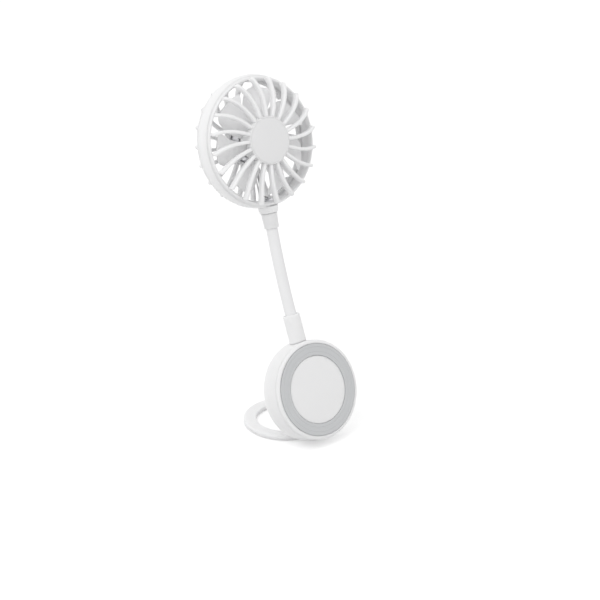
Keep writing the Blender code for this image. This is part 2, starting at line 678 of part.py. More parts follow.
def build_button(device):
    """Make the power button, with the flange that keeps it in the cover."""
    end = BACK - BUTTON_PROUD
    carrier = axis_point("power_button_axis", device)
    flange = BUTTON_RADIUS + BUTTON_FLANGE
    outline = [(0, BUTTON_INSIDE), (flange, BUTTON_INSIDE), (flange, ISLAND_INSIDE + GAP),
               (BUTTON_RADIUS, ISLAND_INSIDE + GAP), (BUTTON_RADIUS, end + BUTTON_EDGE),
               (BUTTON_RADIUS - BUTTON_EDGE, end), (0, end)]
    turned("power_button", [outline], carrier, "cap_plastic", steps=2 * SMALL_STEPS)


def build_fasteners(device):
    """Make the screws of the covers and of the neck's anchor, and the leads to the neck."""
    seat = RECESS_FLOOR + SCREW_SINK - GAP
    screws("base_screw", COVER_SCREW_PLACES, SCREW_LENGTH, device, seat)
    reach = ANCHOR_FRONT + GAP - (RECESS_INSIDE - ANCHOR_SCREW_BITE)
    screws("anchor_screw", ANCHOR_SCREW_PLACES, reach, device, ANCHOR_FRONT + GAP, turn=(math.pi, 0, 0))
    start = BATTERY_HIGH + GAP
    end = ANCHOR_LOW - GAP - ROOT_FLANGE_LENGTH - GAP
    height = BOARD_PLACE + GAP + LEAD_RADIUS
    for kind, side in LEAD_KINDS:
        route = [(side * 2, start, height), (side, (start + end) / 2, height / 2), (side, end, 0)]
        lead(f"base_lead_{kind}", route, device, f"{kind}_jacket")


def build_neck_root(device):
    """Make the neck's root tube with its first ball, the anchor block and the lower sleeve."""
    flange_low = ANCHOR_LOW - GAP - ROOT_FLANGE_LENGTH
    first = LOWER_SLEEVE_TOP + END_REACH
    top = first - LINK_HIGH_SETBACK
    outline = [(0, flange_low), (ROOT_FLANGE_RADIUS, flange_low), (ROOT_FLANGE_RADIUS, ANCHOR_LOW - GAP),
               (SPIGOT_RADIUS, ANCHOR_LOW - GAP), (SPIGOT_RADIUS, ROOT_SHOULDER),
               (NECK_RADIUS, ROOT_SHOULDER), (NECK_RADIUS, top), *ball_points(first)]
    turned("neck_root", [outline], device, "white_silicone", SMALL_STEPS, turn=ALONG_NECK)
    block = box("neck_anchor", (-ANCHOR_HALF_WIDTH, ANCHOR_LOW, ANCHOR_BACK),
                (ANCHOR_HALF_WIDTH, ANCHOR_LOW + ANCHOR_LENGTH, ANCHOR_FRONT), device, "dark_plastic")
    bore = pegs("anchor_bore", [(0, 0)], SPIGOT_RADIUS + GAP, ANCHOR_LOW - OVERRUN,
                ANCHOR_LOW + ANCHOR_LENGTH + OVERRUN, device, steps=SMALL_STEPS, turn=ALONG_NECK)
    holes = pegs("anchor_holes", ANCHOR_SCREW_PLACES, SCREW_RADIUS + GAP, ANCHOR_BACK - OVERRUN,
                 ANCHOR_FRONT + OVERRUN, device)
    combine(block, "DIFFERENCE", bore, holes)
    low = BASE_RADIUS - OVERRUN
    inner, outer, top = NECK_RADIUS + GAP, LOWER_SLEEVE_RADIUS, LOWER_SLEEVE_TOP
    outline = [(inner, top), (outer - SLEEVE_EDGE, top), (outer, top - SLEEVE_EDGE), (outer, low),
               (inner, low)]
    sleeve = turned("lower_sleeve", [outline], device, "white_plastic", 2 * TINY_STEPS, turn=ALONG_NECK)
    saddle = pegs("sleeve_saddle", [(0, 0)], BASE_RADIUS + GAP, BACK, FACE, device, steps=2 * ROUND_STEPS)
    combine(sleeve, "DIFFERENCE", saddle)


def ball_points(centre):
    """Outline of a ball that stands on a link's top face, from that face to the ball's pole."""
    start = math.degrees(math.asin(-LINK_HIGH_SETBACK / BALL_RADIUS))
    points = arc_points((0, centre), BALL_RADIUS, start, 90, BALL_STEPS)
    return points[:-1] + [(0, centre + BALL_RADIUS)]


def socket_points():
    """Outline of the hollow in a link's lower end, from its pole to the link's rim."""
    radius = BALL_RADIUS + GAP
    start = math.degrees(math.asin(LINK_LOW_SETBACK / radius))
    points = arc_points((0, 0), radius, 90, start, BALL_STEPS - 1)
    return [(0, radius)] + points[1:]


def build_neck(device):
    """Make the chain of links and return the joint point that carries the head."""
    spacing = (NECK_LENGTH - 2 * END_REACH) / LINK_COUNT
    nod, turn = (math.radians(angle / (LINK_COUNT + 1)) for angle in (NECK_NOD, NECK_BEND))
    carrier = axis_point("neck_axis", device, turn=ALONG_NECK)
    reach = LOWER_SLEEVE_TOP + END_REACH
    outline = [*socket_points(), (NECK_RADIUS, LINK_LOW_SETBACK),
               (NECK_RADIUS, spacing - LINK_HIGH_SETBACK), *ball_points(spacing)]
    for i in range(LINK_COUNT):
        carrier = axis_point(f"neck_joint_{i + 1}", carrier, (0, 0, reach), (nod, turn, 0))
        turned(f"neck_link_{i + 1}", [outline], carrier, "white_silicone", SMALL_STEPS)
        reach = spacing
    return axis_point(f"neck_joint_{LINK_COUNT + 1}", carrier, (0, 0, reach), (nod, turn, 0))


def build_neck_end(joint):
    """Make the tube at the neck's top and the sleeve over it, and return the head's centre."""
    collar_foot = END_REACH + UPPER_SLEEVE_LENGTH + GAP
    centre = collar_foot + COLLAR_LENGTH + HEAD_RADIUS
    shoulder = collar_foot - GAP
    top = centre - HEAD_RADIUS + HEAD_WALL + GAP + NUT_LENGTH + GAP
    outline = [*socket_points(), (NECK_RADIUS, LINK_LOW_SETBACK), (NECK_RADIUS, shoulder),
               (SPIGOT_RADIUS, shoulder), (SPIGOT_RADIUS, top), (0, top)]
    turned("neck_tip", [outline], joint, "white_silicone", SMALL_STEPS)
    inner = NECK_RADIUS + GAP
    sleeve = [(inner, shoulder), (UPPER_SLEEVE_TOP_RADIUS, shoulder), (UPPER_SLEEVE_LOW_RADIUS, END_REACH),
              (inner, END_REACH)]
    turned("upper_sleeve", [sleeve], joint, "white_plastic", 2 * TINY_STEPS)
    return axis_point("head_centre", joint, (0, NECK_PLANE, centre), (math.pi / 2, 0, 0))


def build_stand(device):
    """Make the stand ring with its knuckle, its pin and the rubber pad under it."""
    hinge = (0, -HINGE_DROP, -HINGE_BACK)
    carrier = axis_point("stand_axis", device, hinge, (math.radians(LEAN - 90), 0, 0))
    foot_seat = STAND_BOTTOM + FOOT_GROOVE
    section = [(STAND_INNER_RADIUS, STAND_TOP), (STAND_OUTER_RADIUS, STAND_TOP),
               (STAND_OUTER_RADIUS, STAND_BOTTOM), (FOOT_OUTER_RADIUS + GAP, STAND_BOTTOM),
               (FOOT_OUTER_RADIUS + GAP, foot_seat), (FOOT_INNER_RADIUS - GAP, foot_seat),
               (FOOT_INNER_RADIUS - GAP, STAND_BOTTOM), (STAND_INNER_RADIUS, STAND_BOTTOM)]
    middle = (0, HINGE_DROP, 0)
    ring = turned("stand_ring", [section], carrier, "white_plastic", place=middle)
    knuckle = pegs("stand_knuckle", [(0, 0)], KNUCKLE_RADIUS, -KNUCKLE_HALF_WIDTH, KNUCKLE_HALF_WIDTH,
                   carrier, steps=SMALL_STEPS, turn=ALONG_X)
    arm = box("stand_arm", (-KNUCKLE_HALF_WIDTH + ARM_INSET, 0, STAND_BOTTOM + ARM_INSET),
              (KNUCKLE_HALF_WIDTH - ARM_INSET, HINGE_DROP - FOOT_OUTER_RADIUS - 2 * GAP,
               STAND_TOP - ARM_INSET), carrier)
    bore = pegs("stand_bore", [(0, 0)], PIN_RADIUS + GAP, -KNUCKLE_HALF_WIDTH - OVERRUN,
                KNUCKLE_HALF_WIDTH + OVERRUN, carrier, turn=ALONG_X)
    combine(ring, "UNION", arm, knuckle)
    combine(ring, "DIFFERENCE", bore)
    foot_low = STAND_BOTTOM - FOOT_PROUD
    foot = tube_outline(FOOT_INNER_RADIUS, FOOT_OUTER_RADIUS, foot_low, foot_seat - GAP)
    turned("stand_foot_pad", [foot], carrier, "grey_silicone", place=middle)
    pegs("stand_hinge_pin", [(0, 0)], PIN_RADIUS, -PIN_HALF_LENGTH, PIN_HALF_LENGTH, device, "steel",
         place=hinge, turn=ALONG_X)


# Heights and angles in the head that several pieces share
FRONT_RIM_LOW = RING_FRONT + GAP
FRONT_RIM_TOP = FRONT_RIM_LOW + FRONT_RIM_DEPTH
REAR_RIM_TOP = RING_BACK - GAP
REAR_RIM_LOW = REAR_RIM_TOP - REAR_RIM_DEPTH
MOTOR_BACK = REAR_HUB_BACK + REAR_PLATE + GAP
MOTOR_FRONT = MOTOR_BACK + MOTOR_LENGTH
CUP_INNER_RADIUS = MOTOR_RADIUS + GAP
CUP_OUTER_RADIUS = CUP_INNER_RADIUS + CUP_WALL
REAR_PHASE = FIN_PHASE + 180 / FIN_COUNT + REAR_FIN_TURN
MOTOR_SCREW_PLACES = [(-MOTOR_SCREW_SIDE, 0), (MOTOR_SCREW_SIDE, 0)]
HUB_BACK = HUB_FRONT - HUB_RECESS - HUB_PLATE
ROTOR_HUB_TOP = HUB_BACK - ROTOR_HEAD_ROOM
ROTOR_HUB_BACK = MOTOR_FRONT + ROTOR_FOOT_ROOM
SHAFT_REACH = ROTOR_HUB_TOP - SHAFT_HEAD_ROOM
BLADE_MIDDLE = ROTOR_HUB_BACK + BLADE_LIFT


def belly_at(height):
    """Radius of the head's outside at a height. It is widest near the neck's plane."""
    return HEAD_RADIUS - HEAD_BELLY * ((height - HEAD_BELLY_PLANE) / HEAD_BELLY_REACH) ** 2


def sweep_at(radius, hub_radius, sweep):
    """How far a fin has swept round at a radius. It is zero at the widest radius and full at the hub."""
    share = min(max((radius - hub_radius) / (HEAD_RADIUS - hub_radius), 0), 1)
    return sweep * (1 - share ** 2)


def head_screw_places():
    """Screw places midway between two rear fins, four turns of five fins apart."""
    pitch = 360 / FIN_COUNT
    start = REAR_PHASE + sweep_at(HEAD_SCREW_CIRCLE_RADIUS, CUP_OUTER_RADIUS, -FIN_SWEEP) + 2.5 * pitch
    return ring_places(HEAD_SCREW_COUNT, HEAD_SCREW_CIRCLE_RADIUS, start)


def fins(name, phase, sweep, hub_radius, start_radius, crest, foot, parent):
    """Make one grille's fins. Crest and foot give the height at the hub and at the rim."""
    bm = bmesh.new()
    crest_radius = HEAD_RADIUS - FIN_CREST_INSET
    foot_radius = HEAD_RADIUS - FIN_FOOT_INSET

    def fin_point(start):
        def point(along, across):
            arc = math.radians(90 * along)
            heights, end_radius = (crest, crest_radius) if across > 0.5 else (foot, foot_radius)
            radius = start_radius + (end_radius - start_radius) * math.sin(arc)
            height = heights[1] + (heights[0] - heights[1]) * math.cos(arc)
            angle = math.radians(start + sweep_at(radius, hub_radius, sweep))
            return radius * math.sin(angle), radius * math.cos(angle), height
        return point

    for i in range(FIN_COUNT):
        mapped_grid(bm, FIN_STATIONS, 1, fin_point(phase + i * 360 / FIN_COUNT))
    return thickened(name, bm, FIN_THICKNESS, parent)


def build_head_ring(head):
    """Make the round ring of the head, with its screw bosses and the collar for the neck."""
    inner = HEAD_RADIUS - HEAD_WALL
    steps = [i / HEAD_BELLY_STEPS for i in range(HEAD_BELLY_STEPS + 1)]
    heights = [RING_FRONT + (RING_BACK - RING_FRONT) * share for share in steps]
    section = [(inner, RING_FRONT), *[(belly_at(height), height) for height in heights], (inner, RING_BACK)]
    ring = turned("head_ring", [section], head, "white_plastic")
    places = head_screw_places()
    bosses = pegs("head_bosses", places, HEAD_BOSS_RADIUS, RING_BACK, RING_BACK + HEAD_BOSS_LENGTH, head)
    boss_holes = pegs("head_boss_holes", places, SCREW_RADIUS + GAP, RING_BACK - OVERRUN,
                      RING_BACK + HEAD_BOSS_LENGTH - SPIGOT_WALL, head)
    foot = -HEAD_RADIUS - COLLAR_LENGTH
    root = -HEAD_RADIUS + COLLAR_ROOT
    outline = [(0, root), (COLLAR_RADIUS, root), (COLLAR_RADIUS, foot + COLLAR_STEP),
               (COLLAR_STEP_RADIUS, foot + COLLAR_STEP), (COLLAR_STEP_RADIUS, foot), (0, foot)]
    middle = (0, 0, NECK_PLANE)
    collar = turned("head_collar", [outline], head, steps=2 * TINY_STEPS, place=middle, turn=ALONG_NECK)
    reach = COLLAR_RADIUS + OVERRUN
    front_band = pegs("collar_front_band", [(0, 0)], belly_at(RING_FRONT) + GAP, RING_FRONT,
                      RING_FRONT + reach, head, steps=ROUND_STEPS)
    rear_band = pegs("collar_rear_band", [(0, 0)], belly_at(RING_BACK) + GAP, RING_BACK - reach,
                     RING_BACK, head, steps=ROUND_STEPS)
    bore = pegs("collar_bore", [(0, 0)], SPIGOT_RADIUS + GAP, foot - OVERRUN, -inner + OVERRUN, head,
                steps=SMALL_STEPS, place=middle, turn=ALONG_NECK)
    combine(collar, "DIFFERENCE", front_band, rear_band)
    combine(ring, "UNION", bosses, collar)
    combine(ring, "DIFFERENCE", boss_holes, bore)
    nut_top = -inner + GAP + NUT_LENGTH + GAP
    nut = pegs("neck_nut", [(0, 0)], NUT_RADIUS, nut_top - NUT_LENGTH, nut_top, head, "steel", steps=6,
               place=middle, turn=ALONG_NECK)
    nut_bore = pegs("nut_bore", [(0, 0)], SPIGOT_RADIUS + GAP, -HEAD_RADIUS, nut_top + OVERRUN, head,
                    steps=SMALL_STEPS, place=middle, turn=ALONG_NECK)
    combine(nut, "DIFFERENCE", nut_bore)


def build_front_grille(head):
    """Make the front grille, with its fins, rim and hub, and the cap in the hub."""
    land = HEAD_RADIUS - FRONT_RIM_LAND
    spigot = HEAD_RADIUS - HEAD_WALL - GAP
    spigot_low = FRONT_RIM_LOW - GRILLE_SPIGOT_DEPTH
    edge = FRONT_RIM_TOP - RIM_EDGE
    rim = [(HEAD_RADIUS - FRONT_RIM_MOUTH, FRONT_RIM_TOP),
           (belly_at(FRONT_RIM_TOP) - RIM_EDGE, FRONT_RIM_TOP), (belly_at(edge), edge),
           (belly_at(FRONT_RIM_LOW), FRONT_RIM_LOW), (spigot, FRONT_RIM_LOW), (spigot, spigot_low),
           (land, spigot_low), (land, FRONT_RIM_LOW)]
    floor = HUB_FRONT - HUB_RECESS
    lip = HUB_RADIUS - HUB_LIP
    hub = [(0, floor), (lip, floor), (lip, HUB_FRONT), (HUB_RADIUS, HUB_FRONT), (HUB_RADIUS, HUB_BACK),
           (0, HUB_BACK)]
    grille = turned("front_grille", [rim, hub], head, "white_plastic")
    crest_hub = HUB_FRONT - FIN_HUB_STEP
    crest = (crest_hub, FRONT_RIM_TOP + FRONT_FIN_PROUD)
    foot = (crest_hub - FRONT_FIN_DEPTH, FRONT_RIM_LOW + FIN_OVERLAP)
    blades = fins("front_fins", FIN_PHASE, FIN_SWEEP, HUB_RADIUS, HUB_RADIUS - HUB_LIP / 2, crest, foot,
                  head)
    notch = box("spigot_notch", (-SPIGOT_NOTCH_HALF_WIDTH, -HEAD_RADIUS, spigot_low - OVERRUN),
                (SPIGOT_NOTCH_HALF_WIDTH, -land + OVERRUN, RING_FRONT), head)
    combine(grille, "UNION", blades)
    combine(grille, "DIFFERENCE", notch)
    turned("hub_cap", [tube_outline(0, lip - GAP, floor + GAP, HUB_FRONT)], head, "cap_plastic")


def build_rear_grille(head):
    """Make the rear grille, with its fins, rim and the cup that holds the motor."""
    land = HEAD_RADIUS - REAR_RIM_LAND
    edge = REAR_RIM_LOW + RIM_EDGE
    rim = [(land, REAR_RIM_TOP), (belly_at(REAR_RIM_TOP), REAR_RIM_TOP), (belly_at(edge), edge),
           (belly_at(REAR_RIM_LOW) - RIM_EDGE, REAR_RIM_LOW), (land, REAR_RIM_LOW)]
    plate = REAR_HUB_BACK + REAR_PLATE
    cup = [(0, plate), (CUP_INNER_RADIUS, plate), (CUP_INNER_RADIUS, plate + CUP_HEIGHT),
           (CUP_OUTER_RADIUS, plate + CUP_HEIGHT), (CUP_OUTER_RADIUS, REAR_HUB_BACK), (0, REAR_HUB_BACK)]
    grille = turned("rear_grille", [rim, cup], head, "white_plastic")
    crest_hub = REAR_HUB_BACK + FIN_HUB_STEP
    crest = (crest_hub, REAR_RIM_LOW - REAR_FIN_PROUD)
    foot = (crest_hub + REAR_FIN_DEPTH, REAR_RIM_TOP - FIN_OVERLAP)
    start = CUP_OUTER_RADIUS - CUP_WALL / 2
    blades = fins("rear_fins", REAR_PHASE, -FIN_SWEEP, CUP_OUTER_RADIUS, start, crest, foot, head)
    places = head_screw_places()
    lugs = pegs("rear_lugs", places, HEAD_LUG_RADIUS, REAR_RIM_LOW + FIN_OVERLAP,
                REAR_RIM_TOP - FIN_OVERLAP, head)
    lug_holes = pegs("rear_lug_holes", places, SCREW_RADIUS + GAP, REAR_RIM_LOW - OVERRUN,
                     REAR_RIM_TOP + OVERRUN, head)
    sinks = pegs("motor_screw_sinks", MOTOR_SCREW_PLACES, SCREW_HEAD_RADIUS + GAP, REAR_HUB_BACK - OVERRUN,
                 REAR_HUB_BACK + MOTOR_SCREW_SINK, head)
    holes = pegs("motor_screw_holes", MOTOR_SCREW_PLACES, SCREW_RADIUS + GAP, REAR_HUB_BACK - OVERRUN,
                 plate + OVERRUN, head)
    combine(grille, "UNION", blades, lugs)
    combine(grille, "DIFFERENCE", lug_holes, sinks, holes)
    screws("head_screw", places, HEAD_SCREW_LENGTH, head, REAR_RIM_LOW + FIN_OVERLAP - GAP)
    seat = REAR_HUB_BACK + MOTOR_SCREW_SINK - GAP
    screws("motor_screw", MOTOR_SCREW_PLACES, MOTOR_SCREW_LENGTH, head, seat, seat - REAR_HUB_BACK)


def build_motor(head):
    """Make the parts of the motor that stand still in the head."""
    hole = BUSH_RADIUS + GAP
    inside = MOTOR_RADIUS - MOTOR_WALL
    plate = MOTOR_FRONT - MOTOR_PLATE
    can = [(hole, MOTOR_FRONT), (MOTOR_RADIUS, MOTOR_FRONT), (MOTOR_RADIUS, MOTOR_BACK),
           (inside, MOTOR_BACK), (inside, plate), (hole, plate)]
    turned("motor_can", [can], head, "steel", 2 * SMALL_STEPS)
    bell_front = MOTOR_BACK + BELL_THICKNESS
    bell = turned("motor_end_bell", [tube_outline(hole, inside - GAP, MOTOR_BACK, bell_front)], head,
                  "dark_plastic", 2 * TINY_STEPS)
    holes = pegs("bell_holes", MOTOR_SCREW_PLACES, SCREW_RADIUS + GAP, MOTOR_BACK - OVERRUN,
                 bell_front + OVERRUN, head)
    combine(bell, "DIFFERENCE", holes)
    bore = SHAFT_RADIUS + GAP
    for name, low in (("front_bush", MOTOR_FRONT - BUSH_LENGTH), ("rear_bush", MOTOR_BACK)):
        turned(name, [tube_outline(bore, BUSH_RADIUS, low, low + BUSH_LENGTH)], head, "brass", TINY_STEPS)
    outer = inside - GAP
    for i in range(2):
        arc_plates(f"motor_magnet_{i + 1}", [90 + 180 * i], MOTOR_MAGNET_SPAN,
                   outer - MOTOR_MAGNET_THICKNESS, outer, bell_front + MOTOR_MAGNET_INSET,
                   plate - MOTOR_MAGNET_INSET, 6, head, "magnet")
    start = -HEAD_RADIUS + HEAD_WALL + GAP + NUT_LENGTH + GAP + LEAD_RADIUS + GAP
    end = -MOTOR_RADIUS - GAP
    drop = REAR_RIM_TOP - LEAD_RADIUS
    floor = drop - LEAD_RADIUS
    route = [(start, NECK_PLANE), (start + LEAD_RADIUS, drop / 2), (start + 2 * LEAD_RADIUS, drop),
             ((start + end) / 2, floor), (end - CUP_WALL, floor), (end, floor)]
    for kind, side in LEAD_KINDS:
        lead(f"head_lead_{kind}", [(side, y, z) for y, z in route], head, f"{kind}_jacket")


def armature_outline():
    """Outline of the armature: a hub and poles that widen to the turning radius."""
    lip = ARMATURE_RADIUS - ARMATURE_LIP
    points = []
    for i in range(ARMATURE_POLES):
        middle = i * 360 / ARMATURE_POLES
        for radius, angle in pole_corners(lip):
            turn = math.radians(middle + angle)
            points.append((radius * math.sin(turn), radius * math.cos(turn)))
    return points


def pole_corners(lip):
    """Corners of one pole as a radius and an angle from its middle."""
    hub = math.degrees(math.asin(ARMATURE_POLE_HALF_WIDTH / ARMATURE_HUB_RADIUS))
    neck = math.degrees(math.asin(ARMATURE_POLE_HALF_WIDTH / lip))
    span = ARMATURE_POLE_HALF_SPAN
    half = [(ARMATURE_HUB_RADIUS, -hub), (lip, -neck), (lip, -span), (ARMATURE_RADIUS, -span),
            (ARMATURE_RADIUS, -span / 2)]
    return half + [(ARMATURE_RADIUS, 0)] + [(radius, -angle) for radius, angle in half[::-1]]


def build_rotor(head):
    """Make the pieces that spin: the rotor, the shaft and the armature."""
    carrier = axis_point("rotor_axis", head)
    top, back = ROTOR_HUB_TOP, ROTOR_HUB_BACK
    inside = ROTOR_HUB_RADIUS - ROTOR_WALL
    plate = top - ROTOR_WALL
    bore = SHAFT_RADIUS + GAP
    corner = (ROTOR_HUB_RADIUS - ROTOR_EDGE, top - ROTOR_EDGE)
    outline = [(0, top), *arc_points(corner, ROTOR_EDGE, 90, 0, 2), (ROTOR_HUB_RADIUS, back), (inside, back),
               (inside, plate), (ROTOR_BOSS_RADIUS, plate), (ROTOR_BOSS_RADIUS, back), (bore, back),
               (bore, SHAFT_REACH + GAP), (0, SHAFT_REACH + GAP)]
    hub = turned("rotor", [outline], carrier, "white_plastic", 2 * TINY_STEPS)
    combine(hub, "UNION", rotor_blades(carrier))
    pegs("motor_shaft", [(0, 0)], SHAFT_RADIUS, MOTOR_BACK, SHAFT_REACH, carrier, "steel")
    middle = (MOTOR_BACK + BELL_THICKNESS + MOTOR_FRONT - MOTOR_PLATE) / 2
    bore_outline = ring_places(TINY_STEPS, bore, 0)
    flat_plate("motor_armature", [armature_outline(), bore_outline], middle - ARMATURE_LENGTH / 2,
               middle + ARMATURE_LENGTH / 2, carrier, "iron")


def rotor_blades(carrier):
    """Make the blades, twisted and swept, buried a little in the hub's wall."""
    bm = bmesh.new()
    root = ROTOR_HUB_RADIUS - BLADE_BURY

    def blade_point(start):
        def point(along, across):
            radius = root + (ROTOR_TIP_RADIUS - root) * along
            chord = BLADE_ROOT_CHORD + (BLADE_TIP_CHORD - BLADE_ROOT_CHORD) * along
            pitch = math.radians(BLADE_ROOT_PITCH + (BLADE_TIP_PITCH - BLADE_ROOT_PITCH) * along)
            offset = chord * (across - 0.5)
            angle = math.radians(start + BLADE_SWEEP * along ** 2) + offset * math.cos(pitch) / radius
            height = BLADE_MIDDLE + offset * math.sin(pitch)
            return radius * math.sin(angle), radius * math.cos(angle), height
        return point

    for i in range(BLADE_COUNT):
        mapped_grid(bm, 4, 2, blade_point(i * 360 / BLADE_COUNT))
    return thickened("rotor_blade_set", bm, BLADE_THICKNESS, carrier)


def place_on_floor(device):
    """Move the whole object so that its box stands on the floor, centred on the origin."""
    graph = bpy.context.evaluated_depsgraph_get()
    corners = []
    for obj in named_collection("magnetic_phone_fan").objects:
        if obj.type != "EMPTY":
            solid = obj.evaluated_get(graph)
            mesh = solid.to_mesh()
            corners += [solid.matrix_world @ vert.co for vert in mesh.vertices]
            solid.to_mesh_clear()
    low = Vector(min(point[i] for point in corners) for i in range(3))
    high = Vector(max(point[i] for point in corners) for i in range(3))
    device.location -= Vector(((low.x + high.x) / 2, (low.y + high.y) / 2, low.z))


def main():
    """Clear the scene and build the whole object."""
    for obj in list(bpy.data.objects):
        bpy.data.objects.remove(obj)
    device = axis_point("device", turn=(math.radians(90 - LEAN), 0, 0))
    build_front_cover(device)
    build_rear_cover(device)
    build_magnets(device)
    build_electronics(device)
    build_button(device)
    build_fasteners(device)
    build_neck_root(device)
    build_stand(device)
    head = build_neck_end(build_neck(device))
    build_head_ring(head)
    build_front_grille(head)
    build_rear_grille(head)
    build_motor(head)
    build_rotor(head)
    bpy.context.view_layer.update()
    place_on_floor(device)
    bpy.context.view_layer.update()


main()
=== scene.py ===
"""Dresses a small fan on a bending neck, which a magnetic disc on a hinged stand ring carries.

Two frames are used besides the object's own. The disc frame has X to the right, Y up the neck and Z out
of the magnetic face. The head frame has Y up and Z the way that the air blows. Sizes are in metres
and angles in degrees.
"""
import json
import logging
import math
from dataclasses import dataclass
from enum import Enum

import bmesh
import bpy
from mathutils import Euler, Matrix, Vector


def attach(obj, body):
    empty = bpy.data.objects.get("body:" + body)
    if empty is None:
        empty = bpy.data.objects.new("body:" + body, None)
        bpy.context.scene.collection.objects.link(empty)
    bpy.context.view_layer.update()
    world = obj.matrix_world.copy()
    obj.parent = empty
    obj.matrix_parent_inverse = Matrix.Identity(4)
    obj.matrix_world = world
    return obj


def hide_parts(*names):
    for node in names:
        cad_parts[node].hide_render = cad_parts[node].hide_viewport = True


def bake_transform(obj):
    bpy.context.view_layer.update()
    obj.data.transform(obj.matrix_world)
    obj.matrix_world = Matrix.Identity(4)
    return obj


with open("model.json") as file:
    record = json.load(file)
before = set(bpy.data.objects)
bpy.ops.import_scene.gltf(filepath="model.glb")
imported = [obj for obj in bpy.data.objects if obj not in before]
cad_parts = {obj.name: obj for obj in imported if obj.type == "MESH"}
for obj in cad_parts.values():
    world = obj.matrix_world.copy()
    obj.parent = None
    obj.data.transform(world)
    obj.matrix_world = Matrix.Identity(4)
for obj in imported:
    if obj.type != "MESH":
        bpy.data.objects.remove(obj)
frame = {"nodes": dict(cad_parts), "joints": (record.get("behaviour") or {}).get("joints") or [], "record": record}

log = logging.getLogger("fan")

Outline = list[tuple[float, float]]
Corner = tuple[float, float, float]
Point = tuple[float, float, float]

# How far the disc leans back, and how far the neck bends to the right and nods forwards.
LEAN = 22.8
NECK_BEND = 2.9
NECK_NOD = 3.4

# Clearances, how far cutters go past what they cut, and small sizes that several pieces share.
GAP = 0.0003
OVERRUN = 0.0020
FINE_OVERRUN = 0.0010
SEAM_ROUND = 0.0001
FINE_ROUND = 0.0001
SCREW_HOLE = 0.0019
SHARP_ANGLE = 34.0

# Steps round the turned pieces, and in a rounding.
HEAD_STEPS = 192
DISC_STEPS = 160
SADDLE_STEPS = 200
PAD_STEPS = 144
HUB_STEPS = 128
MOTOR_STEPS = 96
SLEEVE_STEPS = 72
KNUCKLE_STEPS = 48
SCREW_STEPS = 40
HOLE_STEPS = 36
LIGHT_STEPS = 32
SMALL_ROUND_STEPS = 3
ROUND_STEPS = 5
LARGE_ROUND_STEPS = 6


# Finishes


class Grain(Enum):
    """How a finish's surface is broken up."""

    MOULDED = "moulded"
    BRUSHED = "brushed"
    CRINKLED = "crinkled"
    PRINTED = "printed"
    LAYERED = "layered"


